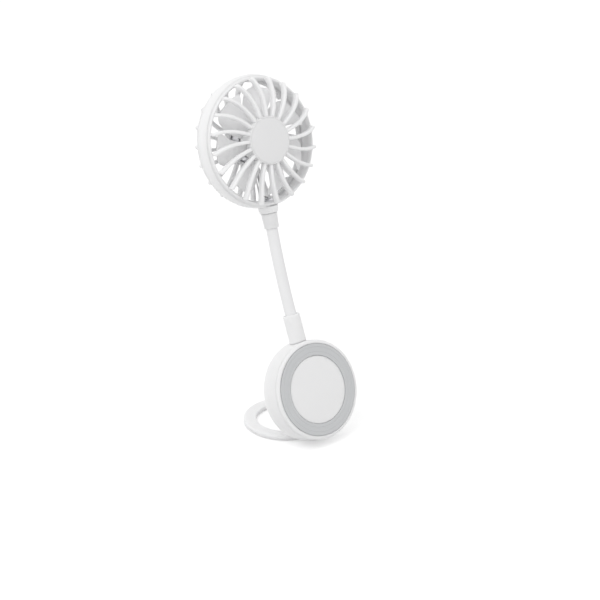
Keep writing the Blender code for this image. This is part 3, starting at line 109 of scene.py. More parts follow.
@dataclass(frozen=True)
class Finish:
    """One surface finish, with the grain that the real one shows."""

    slot: str
    colour: Point
    roughness: float
    grain: Grain = Grain.MOULDED
    metallic: float = 0.0
    grains_per_metre: float = 2600.0
    depth: float = 0.00001
    shade: float = 0.02
    sheen: float = 0.0
    coat: float = 0.0
    wear: float = 0.04
    specular: float = 0.5
    bleed: float = 0.0
    bleed_reach: float = 0.003
    bump_strength: float = 0.6
    drifts_per_metre: float = 90.0
    noise_detail: float = 3.0
    noise_roughness: float = 0.6
    brush_stretch: Point = (0.08, 1.0, 1.0)
    layer_waver: float = 0.6
    roughness_shares: tuple[float, float] = (0.88, 1.14)
    edge_band: tuple[float, float] = (0.52, 0.62)
    edge_gain: float = 1.2
    edge_lift: float = 0.05
    tracks_per_metre: float = 260.0
    track_share: float = 0.06
    track_colour: Point = (0.16, 0.42, 0.20)

    def material(self) -> bpy.types.Material:
        """Return the finish's material, made once.

        Returns:
            The material, with its colour, roughness and bump from nodes.
        """
        made = bpy.data.materials.get(self.slot + "_finish")
        if made:
            return made
        made = bpy.data.materials.new(self.slot + "_finish")
        made.use_nodes = True
        nodes, links = made.node_tree.nodes, made.node_tree.links
        shader = nodes["Principled BSDF"]
        shader.inputs["Metallic"].default_value = self.metallic
        shader.inputs["Specular IOR Level"].default_value = self.specular
        shader.inputs["Subsurface Weight"].default_value = self.bleed
        shader.inputs["Subsurface Radius"].default_value = (1.0, 1.0, 1.0)
        shader.inputs["Subsurface Scale"].default_value = self.bleed_reach
        shader.inputs["Coat Weight"].default_value = self.coat
        shader.inputs["Sheen Weight"].default_value = self.sheen
        place = nodes.new("ShaderNodeTexCoord")
        stretch = nodes.new("ShaderNodeMapping")
        if self.grain is Grain.BRUSHED:
            stretch.inputs["Scale"].default_value = self.brush_stretch
        links.new(place.outputs["Object"], stretch.inputs["Vector"])
        drift = nodes.new("ShaderNodeTexNoise")
        drift.inputs["Scale"].default_value = self.drifts_per_metre
        drift.inputs["Detail"].default_value = self.noise_detail
        links.new(stretch.outputs["Vector"], drift.inputs["Vector"])
        fine = self.fine_grain(made.node_tree, stretch.outputs["Vector"])
        mix = nodes.new("ShaderNodeMix")
        mix.data_type = "RGBA"
        mix.inputs["A"].default_value = (*[c * (1 - self.shade) for c in self.colour], 1.0)
        mix.inputs["B"].default_value = (*[min(c * (1 + self.shade), 1.0) for c in self.colour], 1.0)
        links.new(drift.outputs["Fac"], mix.inputs["Factor"])
        colour = mix.outputs["Result"]
        if self.grain is Grain.PRINTED:
            colour = self.tracks(made.node_tree, stretch.outputs["Vector"], colour)
        links.new(self.worn(made.node_tree, colour), shader.inputs["Base Color"])
        spread = nodes.new("ShaderNodeMapRange")
        least, most = self.roughness_shares
        spread.inputs["To Min"].default_value = self.roughness * least
        spread.inputs["To Max"].default_value = min(self.roughness * most, 1.0)
        links.new(fine, spread.inputs["Value"])
        links.new(spread.outputs["Result"], shader.inputs["Roughness"])
        bump = nodes.new("ShaderNodeBump")
        bump.inputs["Strength"].default_value = self.bump_strength
        bump.inputs["Distance"].default_value = self.depth
        links.new(fine, bump.inputs["Height"])
        links.new(bump.outputs["Normal"], shader.inputs["Normal"])
        return made

    def fine_grain(self, tree: bpy.types.NodeTree, vector: bpy.types.NodeSocket) -> bpy.types.NodeSocket:
        """Add the finest pattern of the surface.

        Args:
            tree: The material's node tree.
            vector: The place on the piece.

        Returns:
            The pattern's value from 0 to 1.
        """
        if self.grain is Grain.CRINKLED:
            cells = tree.nodes.new("ShaderNodeTexVoronoi")
            cells.feature = "SMOOTH_F1"
            cells.inputs["Scale"].default_value = self.grains_per_metre
            tree.links.new(vector, cells.inputs["Vector"])
            return cells.outputs["Distance"]
        if self.grain is Grain.LAYERED:
            bands = tree.nodes.new("ShaderNodeTexWave")
            bands.bands_direction = "Y"
            bands.inputs["Scale"].default_value = self.grains_per_metre
            bands.inputs["Distortion"].default_value = self.layer_waver
            tree.links.new(vector, bands.inputs["Vector"])
            return bands.outputs["Fac"]
        noise = tree.nodes.new("ShaderNodeTexNoise")
        noise.inputs["Scale"].default_value = self.grains_per_metre
        noise.inputs["Detail"].default_value = self.noise_detail
        noise.inputs["Roughness"].default_value = self.noise_roughness
        tree.links.new(vector, noise.inputs["Vector"])
        return noise.outputs["Fac"]

    def worn(self, tree: bpy.types.NodeTree, ground: bpy.types.NodeSocket) -> bpy.types.NodeSocket:
        """Rub the surface paler along its outer edges.

        Args:
            tree: The material's node tree.
            ground: The surface's own colour.

        Returns:
            The colour with its edges rubbed.
        """
        edge = tree.nodes.new("ShaderNodeNewGeometry")
        reach = tree.nodes.new("ShaderNodeMapRange")
        reach.inputs["From Min"].default_value, reach.inputs["From Max"].default_value = self.edge_band
        reach.inputs["To Max"].default_value = self.wear
        tree.links.new(edge.outputs["Pointiness"], reach.inputs["Value"])
        mix = tree.nodes.new("ShaderNodeMix")
        mix.data_type = "RGBA"
        paler = [min(c * self.edge_gain + self.edge_lift, 1.0) for c in self.colour]
        mix.inputs["B"].default_value = (*paler, 1.0)
        tree.links.new(reach.outputs["Result"], mix.inputs["Factor"])
        tree.links.new(ground, mix.inputs["A"])
        return mix.outputs["Result"]

    def tracks(self, tree: bpy.types.NodeTree, vector: bpy.types.NodeSocket,
               ground: bpy.types.NodeSocket) -> bpy.types.NodeSocket:
        """Lay paler conductor tracks over a board's colour.

        Args:
            tree: The material's node tree.
            vector: The place on the piece.
            ground: The board's own colour.

        Returns:
            The colour with its tracks.
        """
        bricks = tree.nodes.new("ShaderNodeTexBrick")
        bricks.inputs["Scale"].default_value = self.tracks_per_metre
        bricks.inputs["Mortar Size"].default_value = self.track_share
        bricks.inputs["Color1"].default_value = (0.0, 0.0, 0.0, 1.0)
        bricks.inputs["Color2"].default_value = (0.0, 0.0, 0.0, 1.0)
        bricks.inputs["Mortar"].default_value = (1.0, 1.0, 1.0, 1.0)
        tree.links.new(vector, bricks.inputs["Vector"])
        mix = tree.nodes.new("ShaderNodeMix")
        mix.data_type = "RGBA"
        mix.inputs["B"].default_value = (*self.track_colour, 1.0)
        tree.links.new(bricks.outputs["Color"], mix.inputs["Factor"])
        tree.links.new(ground, mix.inputs["A"])
        return mix.outputs["Result"]


WHITE = Finish("white_plastic", (0.92, 0.92, 0.925), 0.40, grains_per_metre=3200.0, depth=0.000006,
               shade=0.008, specular=0.2, bleed=0.4)
CAP = Finish("cap_plastic", (0.84, 0.84, 0.845), 0.52, grains_per_metre=4200.0, depth=0.000012, shade=0.010)
SKIN = Finish("white_silicone", (0.885, 0.885, 0.89), 0.55, grains_per_metre=1800.0, depth=0.000006,
              shade=0.012, sheen=0.03, specular=0.2)
PAD = Finish("grey_silicone", (0.60, 0.61, 0.62), 0.72, grains_per_metre=2400.0, depth=0.00002, shade=0.03,
             sheen=0.15)
STEEL = Finish("steel", (0.62, 0.62, 0.64), 0.30, Grain.BRUSHED, 1.0, 5200.0, 0.000006, 0.05, wear=0.3)
BRASS = Finish("brass", (0.78, 0.62, 0.32), 0.32, Grain.BRUSHED, 1.0, 4200.0, 0.000006, 0.05, wear=0.3)
MAGNET = Finish("magnet", (0.35, 0.35, 0.37), 0.28, Grain.MOULDED, 1.0, 1500.0, 0.000004, 0.06)
IRON = Finish("iron", (0.30, 0.29, 0.28), 0.50, Grain.LAYERED, 1.0, 900.0, 0.00003, 0.05)
FOIL = Finish("battery_foil", (0.68, 0.70, 0.74), 0.36, Grain.CRINKLED, 0.6, 700.0, 0.00008, 0.03)
BOARD = Finish("board_green", (0.05, 0.24, 0.12), 0.42, Grain.PRINTED, 0.0, 2200.0, 0.00001, 0.05, coat=0.3)
DARK = Finish("dark_plastic", (0.05, 0.05, 0.06), 0.50, depth=0.00001, shade=0.10)
CLEAR = Finish("light_pipe", (0.92, 0.94, 0.96), 0.20, depth=0.000002, shade=0.01, coat=0.5)
PALE_WIRE = Finish("white_jacket", (0.80, 0.80, 0.80), 0.48, depth=0.00001, shade=0.03)
GREY_WIRE = Finish("grey_jacket", (0.42, 0.42, 0.43), 0.48, depth=0.00001, shade=0.05)
FINISHES = {f.slot: f for f in (WHITE, CAP, SKIN, PAD, STEEL, BRASS, MAGNET, IRON, FOIL, BOARD, DARK, CLEAR,
                                PALE_WIRE, GREY_WIRE)}


# Shapes

# A corner flatter than this isn't rounded, and a point nearer than this is on the axis.
STRAIGHT_ANGLE = 179.0
ON_AXIS = 1e-7
ALONG_X = Matrix.Rotation(math.pi / 2, 4, "Y")
ALONG_Y = Matrix.Rotation(-math.pi / 2, 4, "X")


def softened(corners: list[Corner], segments: int = 4) -> Outline:
    """Round the corners of a closed outline.

    Args:
        corners: Radius, height and rounding of each corner, in order.
        segments: Straight steps in each rounding.

    Returns:
        The outline's points.
    """
    points: Outline = []
    for i, (x, y, rounding) in enumerate(corners):
        here = Vector((x, y))
        to_last = (Vector(corners[i - 1][:2]) - here).normalized()
        to_next = (Vector(corners[(i + 1) % len(corners)][:2]) - here).normalized()
        opening = to_last.angle(to_next)
        if rounding <= 0 or opening > math.radians(STRAIGHT_ANGLE):
            points.append((x, y))
            continue
        cut = rounding / math.tan(opening / 2)
        centre = here + (to_last + to_next).normalized() * (rounding / math.sin(opening / 2))
        start, end = here + to_last * cut - centre, here + to_next * cut - centre
        span = start.angle(end)
        for k in range(segments + 1):
            share = k / segments
            arm = (start * math.sin((1 - share) * span) + end * math.sin(share * span)) / math.sin(span)
            points.append(tuple(centre + arm))
    return points


def new_object(name: str, bm: bmesh.types.BMesh) -> bpy.types.Object:
    """Turn a bmesh into a linked object and free it.

    Args:
        name: The piece's name.
        bm: Its faces.

    Returns:
        The piece.
    """
    bmesh.ops.recalc_face_normals(bm, faces=bm.faces)
    mesh = bpy.data.meshes.new(name)
    bm.to_mesh(mesh)
    bm.free()
    obj = bpy.data.objects.new(name, mesh)
    bpy.context.scene.collection.objects.link(obj)
    return obj


def turned(name: str, outline: Outline, steps: int) -> bpy.types.Object:
    """Turn a closed outline of radius and height about Z.

    Args:
        name: The piece's name.
        outline: The outline's points. One that meets the axis starts and ends on it.
        steps: Steps round the turn.

    Returns:
        The closed piece.
    """
    bm = bmesh.new()
    rings = []
    for radius, height in outline:
        if abs(radius) < ON_AXIS:
            rings.append([bm.verts.new((0, 0, height))])
        else:
            turns = [2 * math.pi * i / steps for i in range(steps)]
            rings.append([bm.verts.new((radius * math.cos(a), radius * math.sin(a), height)) for a in turns])
    pairs = list(zip(rings, rings[1:] + rings[:1]))
    for low, high in pairs:
        if len(low) == 1 and len(high) == 1:
            continue
        for i in range(steps):
            j = (i + 1) % steps
            corners = [low[i % len(low)], low[j % len(low)], high[j % len(high)], high[i % len(high)]]
            bm.faces.new(list(dict.fromkeys(corners)))
    return new_object(name, bm)


def prism(name: str, outline: Outline, low: float, high: float) -> bpy.types.Object:
    """Extrude a closed outline in X and Y from one height to another.

    Args:
        name: The piece's name.
        outline: The outline's points.
        low: The lower height.
        high: The upper height.

    Returns:
        The closed piece.
    """
    bm = bmesh.new()
    foot = [bm.verts.new((x, y, low)) for x, y in outline]
    head = [bm.verts.new((x, y, high)) for x, y in outline]
    bm.faces.new(foot[::-1])
    bm.faces.new(head)
    for i in range(len(outline)):
        j = (i + 1) % len(outline)
        bm.faces.new((foot[i], foot[j], head[j], head[i]))
    return new_object(name, bm)


def circle(radius: float, steps: int, centre: tuple[float, float] = (0.0, 0.0)) -> Outline:
    """Points of a circle."""
    turns = [2 * math.pi * i / steps for i in range(steps)]
    return [(centre[0] + radius * math.cos(a), centre[1] + radius * math.sin(a)) for a in turns]


def rectangle(left: float, low: float, right: float, high: float, rounding: float) -> Outline:
    """Points of a rectangle with rounded corners."""
    corners = [(left, low), (right, low), (right, high), (left, high)]
    return softened([(x, y, rounding) for x, y in corners], LARGE_ROUND_STEPS)


def moved(obj: bpy.types.Object, matrix: Matrix) -> bpy.types.Object:
    """Move a piece's mesh and leave its object at the origin."""
    obj.data.transform(matrix)
    return obj


def carve(obj: bpy.types.Object, *cutters: bpy.types.Object,
          operation: str = "DIFFERENCE") -> bpy.types.Object:
    """Cut pieces from a piece, or join them to it, and delete them.

    Args:
        obj: The piece that stays.
        cutters: The pieces that are used up.
        operation: The name of the boolean's operation.

    Returns:
        The changed piece.
    """
    for cutter in cutters:
        step = obj.modifiers.new("carve", "BOOLEAN")
        step.operation = operation
        step.solver = "EXACT"
        step.object = cutter
    settled(obj)
    for cutter in cutters:
        bpy.data.objects.remove(cutter)
    return obj


def settled(obj: bpy.types.Object) -> bpy.types.Object:
    """Turn what a piece's modifiers make into its plain mesh.

    Args:
        obj: The piece with its modifiers.

    Returns:
        The same piece, with none.
    """
    graph = bpy.context.evaluated_depsgraph_get()
    made = bpy.data.meshes.new_from_object(obj.evaluated_get(graph))
    obj.modifiers.clear()
    old, obj.data = obj.data, made
    bpy.data.meshes.remove(old)
    return obj


def hand_in(obj: bpy.types.Object, finish: Finish, body: str, nodes: tuple[str, ...] = (),
            matrix: Matrix | None = None, ends: tuple[str, Point, Point] | None = None) -> bpy.types.Object:
    """Place a piece, give it its finish and, unless it is given ends, let it ride on its body.

    Args:
        obj: The piece, built in its sub-assembly's frame.
        finish: Its finish.
        body: The body that it rides on.
        nodes: The solids that it stands for.
        matrix: The sub-assembly's frame.
        ends: For a piece that spans a joint, the second body and the two points at its ends. Only whether it is
            given is read: such a piece is fixed where it is and rides on no body.

    Returns:
        The finished piece.
    """
    if matrix is not None:
        moved(obj, matrix)
    obj.data.materials.clear()
    obj.data.materials.append(finish.material())
    for face in obj.data.polygons:
        face.material_index = 0
        face.use_smooth = True
    obj.data.set_sharp_from_angle(angle=math.radians(SHARP_ANGLE))
    if ends:
        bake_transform(obj)
    else:
        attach(obj, body)
    if nodes:
        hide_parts(*nodes)
    log.info("%s: %d faces on %s", obj.name, len(obj.data.polygons), body)
    return obj


# Recipes in Geometry Nodes


@dataclass(frozen=True)
class Term:
    """One value in a recipe, which can be added to and multiplied."""

    recipe: "Recipe"
    socket: bpy.types.NodeSocket

    def __add__(self, other: "Term | float") -> "Term":
        """Add."""
        return self.recipe.math("ADD", self, other)

    def __radd__(self, other: float) -> "Term":
        """Add to a number."""
        return self.recipe.math("ADD", other, self)

    def __sub__(self, other: "Term | float") -> "Term":
        """Take away."""
        return self.recipe.math("SUBTRACT", self, other)

    def __rsub__(self, other: float) -> "Term":
        """Take from a number."""
        return self.recipe.math("SUBTRACT", other, self)

    def __mul__(self, other: "Term | float") -> "Term":
        """Multiply."""
        return self.recipe.math("MULTIPLY", self, other)

    def __rmul__(self, other: float) -> "Term":
        """Multiply a number."""
        return self.recipe.math("MULTIPLY", other, self)

    def __truediv__(self, other: "Term | float") -> "Term":
        """Divide."""
        return self.recipe.math("DIVIDE", self, other)

    def __neg__(self) -> "Term":
        """Change the sign."""
        return self.recipe.math("MULTIPLY", self, -1.0)

    def most(self, other: "Term | float") -> "Term":
        """Return the greater one."""
        return self.recipe.math("MAXIMUM", self, other)

    def least(self, other: "Term | float") -> "Term":
        """Return the smaller one."""
        return self.recipe.math("MINIMUM", self, other)

    def size(self) -> "Term":
        """Return the value without its sign."""
        return self.recipe.math("ABSOLUTE", self)

    def power(self, other: float) -> "Term":
        """Raise to a power."""
        return self.recipe.math("POWER", self, other)

    def root(self) -> "Term":
        """Return the square root."""
        return self.recipe.math("SQRT", self)

    def sine(self) -> "Term":
        """Return the sine of an angle in radians."""
        return self.recipe.math("SINE", self)

    def cosine(self) -> "Term":
        """Return the cosine of an angle in radians."""
        return self.recipe.math("COSINE", self)


class Recipe:
    """A Geometry Nodes tree with named sizes, written as sums."""

    def __init__(self, name: str) -> None:
        """Start an empty tree.

        Args:
            name: The tree's name.
        """
        self.tree = bpy.data.node_groups.new(name, "GeometryNodeTree")
        self.tree.interface.new_socket("Geometry", in_out="INPUT", socket_type="NodeSocketGeometry")
        self.tree.interface.new_socket("Geometry", in_out="OUTPUT", socket_type="NodeSocketGeometry")
        self.inlet = self.tree.nodes.new("NodeGroupInput")
        self.outlet = self.tree.nodes.new("NodeGroupOutput")

    def size(self, name: str, kind: str = "NodeSocketFloat") -> Term:
        """Add a named input."""
        self.tree.interface.new_socket(name, in_out="INPUT", socket_type=kind)
        return Term(self, self.inlet.outputs[name])

    def join(self, value: Term | float | int | Point, socket: bpy.types.NodeSocket) -> None:
        """Send a value into a socket.

        Args:
            value: A term, or a plain number or vector.
            socket: Where it goes.
        """
        if isinstance(value, Term):
            self.tree.links.new(value.socket, socket)
        else:
            socket.default_value = value

    def node(self, kind: str, inputs: dict[str, Term | float | int | Point], output: str | int = 0) -> Term:
        """Add a node.

        Args:
            kind: The node's type.
            inputs: What goes into its sockets.
            output: The socket that is wanted.

        Returns:
            That output.
        """
        made = self.tree.nodes.new(kind)
        for name, value in inputs.items():
            self.join(value, made.inputs[name])
        return Term(self, made.outputs[output])

    def math(self, operation: str, first: Term | float, second: Term | float = 0.0) -> Term:
        """Work out one sum.

        Args:
            operation: The Math node's operation.
            first: The first value.
            second: The second value.

        Returns:
            The result.
        """
        made = self.tree.nodes.new("ShaderNodeMath")
        made.operation = operation
        self.join(first, made.inputs[0])
        self.join(second, made.inputs[1])
        return Term(self, made.outputs[0])

    def place(self) -> tuple[Term, Term, Term]:
        """Read the place of each vertex.

        Returns:
            Its X, Y and Z.
        """
        here = self.node("GeometryNodeInputPosition", {})
        split = self.tree.nodes.new("ShaderNodeSeparateXYZ")
        self.tree.links.new(here.socket, split.inputs[0])
        return tuple(Term(self, split.outputs[i]) for i in range(3))

    def point(self, x: Term | float, y: Term | float, z: Term | float) -> Term:
        """Join three values into a vector."""
        return self.node("ShaderNodeCombineXYZ", {"X": x, "Y": y, "Z": z})

    def ring(self, mesh: Term, count: Term) -> Term:
        """Repeat a mesh evenly clockwise round Z.

        Args:
            mesh: The mesh to repeat.
            count: How many there are.

        Returns:
            The instances.
        """
        line = self.node("GeometryNodeMeshLine", {"Count": count, "Offset": (0.0, 0.0, 0.0)})
        index = self.node("GeometryNodeInputIndex", {})
        turn = self.point(0.0, 0.0, -2 * math.pi * index / count)
        inputs = {"Points": line, "Instance": mesh, "Rotation": turn}
        return self.node("GeometryNodeInstanceOnPoints", inputs)

    def finish(self, geometry: Term, material: Term) -> bpy.types.NodeTree:
        """End the tree in Realize Instances and Set Material.

        Args:
            geometry: What the tree made.
            material: The material for all of it.

        Returns:
            The whole tree.
        """
        real = self.node("GeometryNodeRealizeInstances", {"Geometry": geometry})
        dressed = self.node("GeometryNodeSetMaterial", {"Geometry": real, "Material": material})
        self.tree.links.new(dressed.socket, self.outlet.inputs[0])
        return self.tree


def cooked(name: str, tree: bpy.types.NodeTree, sizes: dict[str, object],
           points: list[Point] | None = None) -> bpy.types.Object:
    """Make a plain piece from a recipe.

    Args:
        name: The piece's name.
        tree: The recipe's tree.
        sizes: What goes into its named inputs.
        points: The places that the recipe starts from.

    Returns:
        The piece, with no modifier left.
    """
    mesh = bpy.data.meshes.new(name)
    mesh.from_pydata(points or [], [], [])
    obj = bpy.data.objects.new(name, mesh)
    bpy.context.scene.collection.objects.link(obj)
    step = obj.modifiers.new("recipe", "NODES")
    step.node_group = tree
    for item in tree.interface.items_tree:
        if item.in_out == "INPUT" and item.name in sizes:
            step[item.identifier] = sizes[item.name]
    obj.update_tag()
    bpy.context.view_layer.update()
    return settled(obj)


# Points along, across and up a fin and a blade, and how their sections and ends are drawn in.
NOT_NOUGHT = 1e-9
FIN_STEPS = (34, 5, 8)
FIN_SHARPNESS = 3.6
FIN_END_DRAW = 0.6
BLADE_STEPS = (16, 12, 3)
BLADE_EDGE_THINNING = 0.82
BLADE_CORNER_SHARE = 0.14
BLADE_CORNER_CUT = 0.16


def unit_bar(recipe: Recipe, steps: tuple[int, int, int]) -> Term:
    """Start a recipe from a bar of one unit each way.

    Args:
        recipe: The recipe.
        steps: Points along X, Y and Z.

    Returns:
        The bar.
    """
    x, y, z = steps
    return recipe.node("GeometryNodeMeshCube", {"Size": (1.0, 1.0, 1.0), "Vertices X": x, "Vertices Y": y,
                                                "Vertices Z": z}, "Mesh")


def rounded_section(y: Term, z: Term, sharpness: float) -> tuple[Term, Term]:
    """Draw a square section's points in until it is a square with round corners.

    Args:
        y: The first place, from -1 to 1.
        z: The second place, from -1 to 1.
        sharpness: 2 gives a circle, and more gives tighter corners.

    Returns:
        The two places again.
    """
    reach = y.size().most(z.size())
    norm = (y.size().power(sharpness) + z.size().power(sharpness) + NOT_NOUGHT).power(1 / sharpness)
    share = reach / norm
    return y * share, z * share


def fin_recipe() -> bpy.types.NodeTree:
    """Write the recipe of a ring of swept fins, each domed from the hub to the rim, with a blunt round end.

    Returns:
        The recipe's tree.
    """
    recipe = Recipe("swept_fins")
    count = recipe.size("Count", "NodeSocketInt")
    names = ("Phase", "Sweep", "Sweep Radius", "Hub Radius", "Start Radius", "Crest Radius", "Foot Radius",
             "Hub Crest", "Rim Crest", "Hub Foot", "Rim Foot", "Thickness", "Round Share")
    (phase, sweep, sweep_end, hub, start, crest_end, foot_end, hub_crest, rim_crest, hub_foot, rim_foot,
     thickness, round_share) = [recipe.size(name) for name in names]
    material = recipe.size("Material", "NodeSocketMaterial")
    bar = unit_bar(recipe, FIN_STEPS)
    x, y, z = recipe.place()
    across, up = rounded_section(y * 2, z * 2, FIN_SHARPNESS)
    along = x + 0.5
    arc = along * (math.pi / 2)
    tip = ((along - 1 + round_share) / round_share).most(0.0)
    close = (1 - tip * tip * FIN_END_DRAW).root()
    raised = (up + 1) * 0.5
    foot_radius = start + (foot_end - start) * arc.sine()
    crest_radius = start + (crest_end - start) * arc.sine()
    low = rim_foot + (hub_foot - rim_foot) * arc.cosine()
    high = rim_crest + (hub_crest - rim_crest) * arc.cosine()
    radius = foot_radius + (crest_radius - foot_radius) * raised
    height = low + (high - low) * raised
    span = sweep_end - hub
    share = ((radius - hub) / span).most(0.0).least(1.0)
    angle = phase + sweep * (1 - share * share)
    slope = radius * sweep * share * -2.0 / span
    side = across * close * thickness * 0.5 / (1 + slope * slope).root()
    out = radius - slope * side
    place = recipe.point(out * angle.sine() + side * angle.cosine(),
                         out * angle.cosine() - side * angle.sine(), height)
    fin = recipe.node("GeometryNodeSetPosition", {"Geometry": bar, "Position": place})
    return recipe.finish(recipe.ring(fin, count), material)


def blade_recipe() -> bpy.types.NodeTree:
    """Write the recipe of a ring of twisted blades, thin at both long edges.

    Returns:
        The recipe's tree.
    """
    recipe = Recipe("twisted_blades")
    count = recipe.size("Count", "NodeSocketInt")
    names = ("Root Radius", "Tip Radius", "Root Chord", "Tip Chord", "Root Pitch", "Tip Pitch", "Middle",
             "Sweep", "Thickness")
    root, tip, root_chord, tip_chord, root_pitch, tip_pitch, middle, sweep, thickness = [
        recipe.size(name) for name in names]
    material = recipe.size("Material", "NodeSocketMaterial")
    bar = unit_bar(recipe, BLADE_STEPS)
    x, y, z = recipe.place()
    along = x + 0.5
    edge = (1 - (y * 2).power(2.0) * BLADE_EDGE_THINNING).root()
    outermost = ((along - 1 + BLADE_CORNER_SHARE) / BLADE_CORNER_SHARE).most(0.0)
    corner = 1 - outermost.power(2.0) * BLADE_CORNER_CUT
    radius = root + (tip - root) * along
    chord = (root_chord + (tip_chord - root_chord) * along) * corner
    pitch = root_pitch + (tip_pitch - root_pitch) * along
    wall = z * thickness * edge
    offset = chord * y
    angle = (offset * pitch.cosine() - wall * pitch.sine()) / radius + sweep * along * along
    height = middle + offset * pitch.sine() + wall * pitch.cosine()
    place = recipe.point(radius * angle.sine(), radius * angle.cosine(), height)
    blade = recipe.node("GeometryNodeSetPosition", {"Geometry": bar, "Position": place})
    return recipe.finish(recipe.ring(blade, count), material)


def scatter_recipe() -> bpy.types.NodeTree:
    """Write the recipe that puts one part, such as a screw, at each place, turned by chance.

    Returns:
        The recipe's tree.
    """
    recipe = Recipe("equal_parts")
    part = recipe.size("Part", "NodeSocketObject")
    seed = recipe.size("Seed", "NodeSocketInt")
    spread = recipe.size("Turn")
    material = recipe.size("Material", "NodeSocketMaterial")
    shape = recipe.node("GeometryNodeObjectInfo", {"Object": part}, "Geometry")
    chance = recipe.tree.nodes.new("FunctionNodeRandomValue")
    chance.data_type = "FLOAT"
    recipe.join(seed, chance.inputs["Seed"])
    draw = [socket for socket in chance.outputs if socket.enabled and socket.type == "VALUE"][0]
    turn = recipe.point(0.0, 0.0, Term(recipe, draw) * spread)
    start = Term(recipe, recipe.inlet.outputs["Geometry"])
    inputs = {"Points": start, "Instance": shape, "Rotation": turn}
    return recipe.finish(recipe.node("GeometryNodeInstanceOnPoints", inputs), material)


# Frames


@dataclass(frozen=True)
class Frames:
    """The two frames that the pieces are built in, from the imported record."""

    disc: Matrix
    head: Matrix
    joints: dict[str, Vector]

    @classmethod
    def read(cls) -> "Frames":
        """Work out both frames from the joints.

        Returns:
            The frames and each joint's place.
        """
        places = {joint["name"]: Vector(joint.get("pos_m", (0, 0, 0))) for joint in frame["joints"]}
        lean = math.radians(LEAN)
        right = Vector((1, 0, 0))
        up = Vector((0, math.sin(lean), math.cos(lean)))
        out = Vector((0, -math.cos(lean), math.sin(lean)))
        disc = places["stand_hinge"] + up * Disc.hinge_drop + out * Disc.hinge_back
        nod, turn = (math.radians(angle / Neck.joints) for angle in (NECK_NOD, NECK_BEND))
        tip = Matrix((right, -out, up)).transposed()
        for _ in range(Neck.joints):
            tip = tip @ Euler((nod, turn, 0)).to_matrix()
        head_right, head_back, head_up = tip.col
        return cls(cls.matrix(disc, right, up, out),
                   cls.matrix(places["rotor_spin"], head_right, head_up, -head_back), places)

    @staticmethod
    def matrix(origin: Vector, x: Vector, y: Vector, z: Vector) -> Matrix:
        """Join a frame's origin and axes.

        Args:
            origin: Where its origin is.
            x: Its first axis.
            y: Its second axis.
            z: Its third axis.

        Returns:
            The frame's matrix.
        """
        made = Matrix((x, y, z)).transposed().to_4x4()
        made.translation = origin
        return made


# Sub-assemblies


@dataclass
class Screws:
    """A set of pan head screws with cross recesses. A seat is at Z 0 of its head, whose top is below it."""

    name: str
    places: list[tuple[float, float]]
    seat: float
    height: float
    nodes: tuple[str, ...]
    body: str
    matrix: Matrix
    radius: float = 0.0016
    seat_depth: float = 0.0002
    overrun: float = 0.0004
    round_share: float = 0.35
    slot_share: float = 0.3
    cross_share: float = 0.62
    corner_share: float = 0.2
    floor_share: float = 0.45
    seed: int = 7

    def build(self) -> None:
        """Put a head in every seat."""
        head = self.head()
        sizes = {"Part": head, "Seed": self.seed, "Turn": math.pi, "Material": STEEL.material()}
        screws = cooked(self.name, scatter_recipe(), sizes, [(x, y, self.seat) for x, y in self.places])
        bpy.data.objects.remove(head)
        hand_in(screws, STEEL, self.body, self.nodes, self.matrix)

    def head(self) -> bpy.types.Object:
        """Make one head and cut its cross."""
        shoulder, half = self.radius * self.round_share, self.radius * self.slot_share / 2
        outline = softened([(0, self.seat_depth, 0), (self.radius, self.seat_depth, 0),
                            (self.radius, -self.height, shoulder), (0, -self.height, 0)])
        head = turned("screw_head", outline, SCREW_STEPS)
        reach, corner = self.radius * self.cross_share, 2 * half * self.corner_share
        crossed = (rectangle(-reach, -half, reach, half, corner),
                   rectangle(-half, -reach, half, reach, corner))
        bars = [prism("bar", bar, -self.height - self.overrun, -self.height * self.floor_share)
                for bar in crossed]
        return carve(head, *bars)


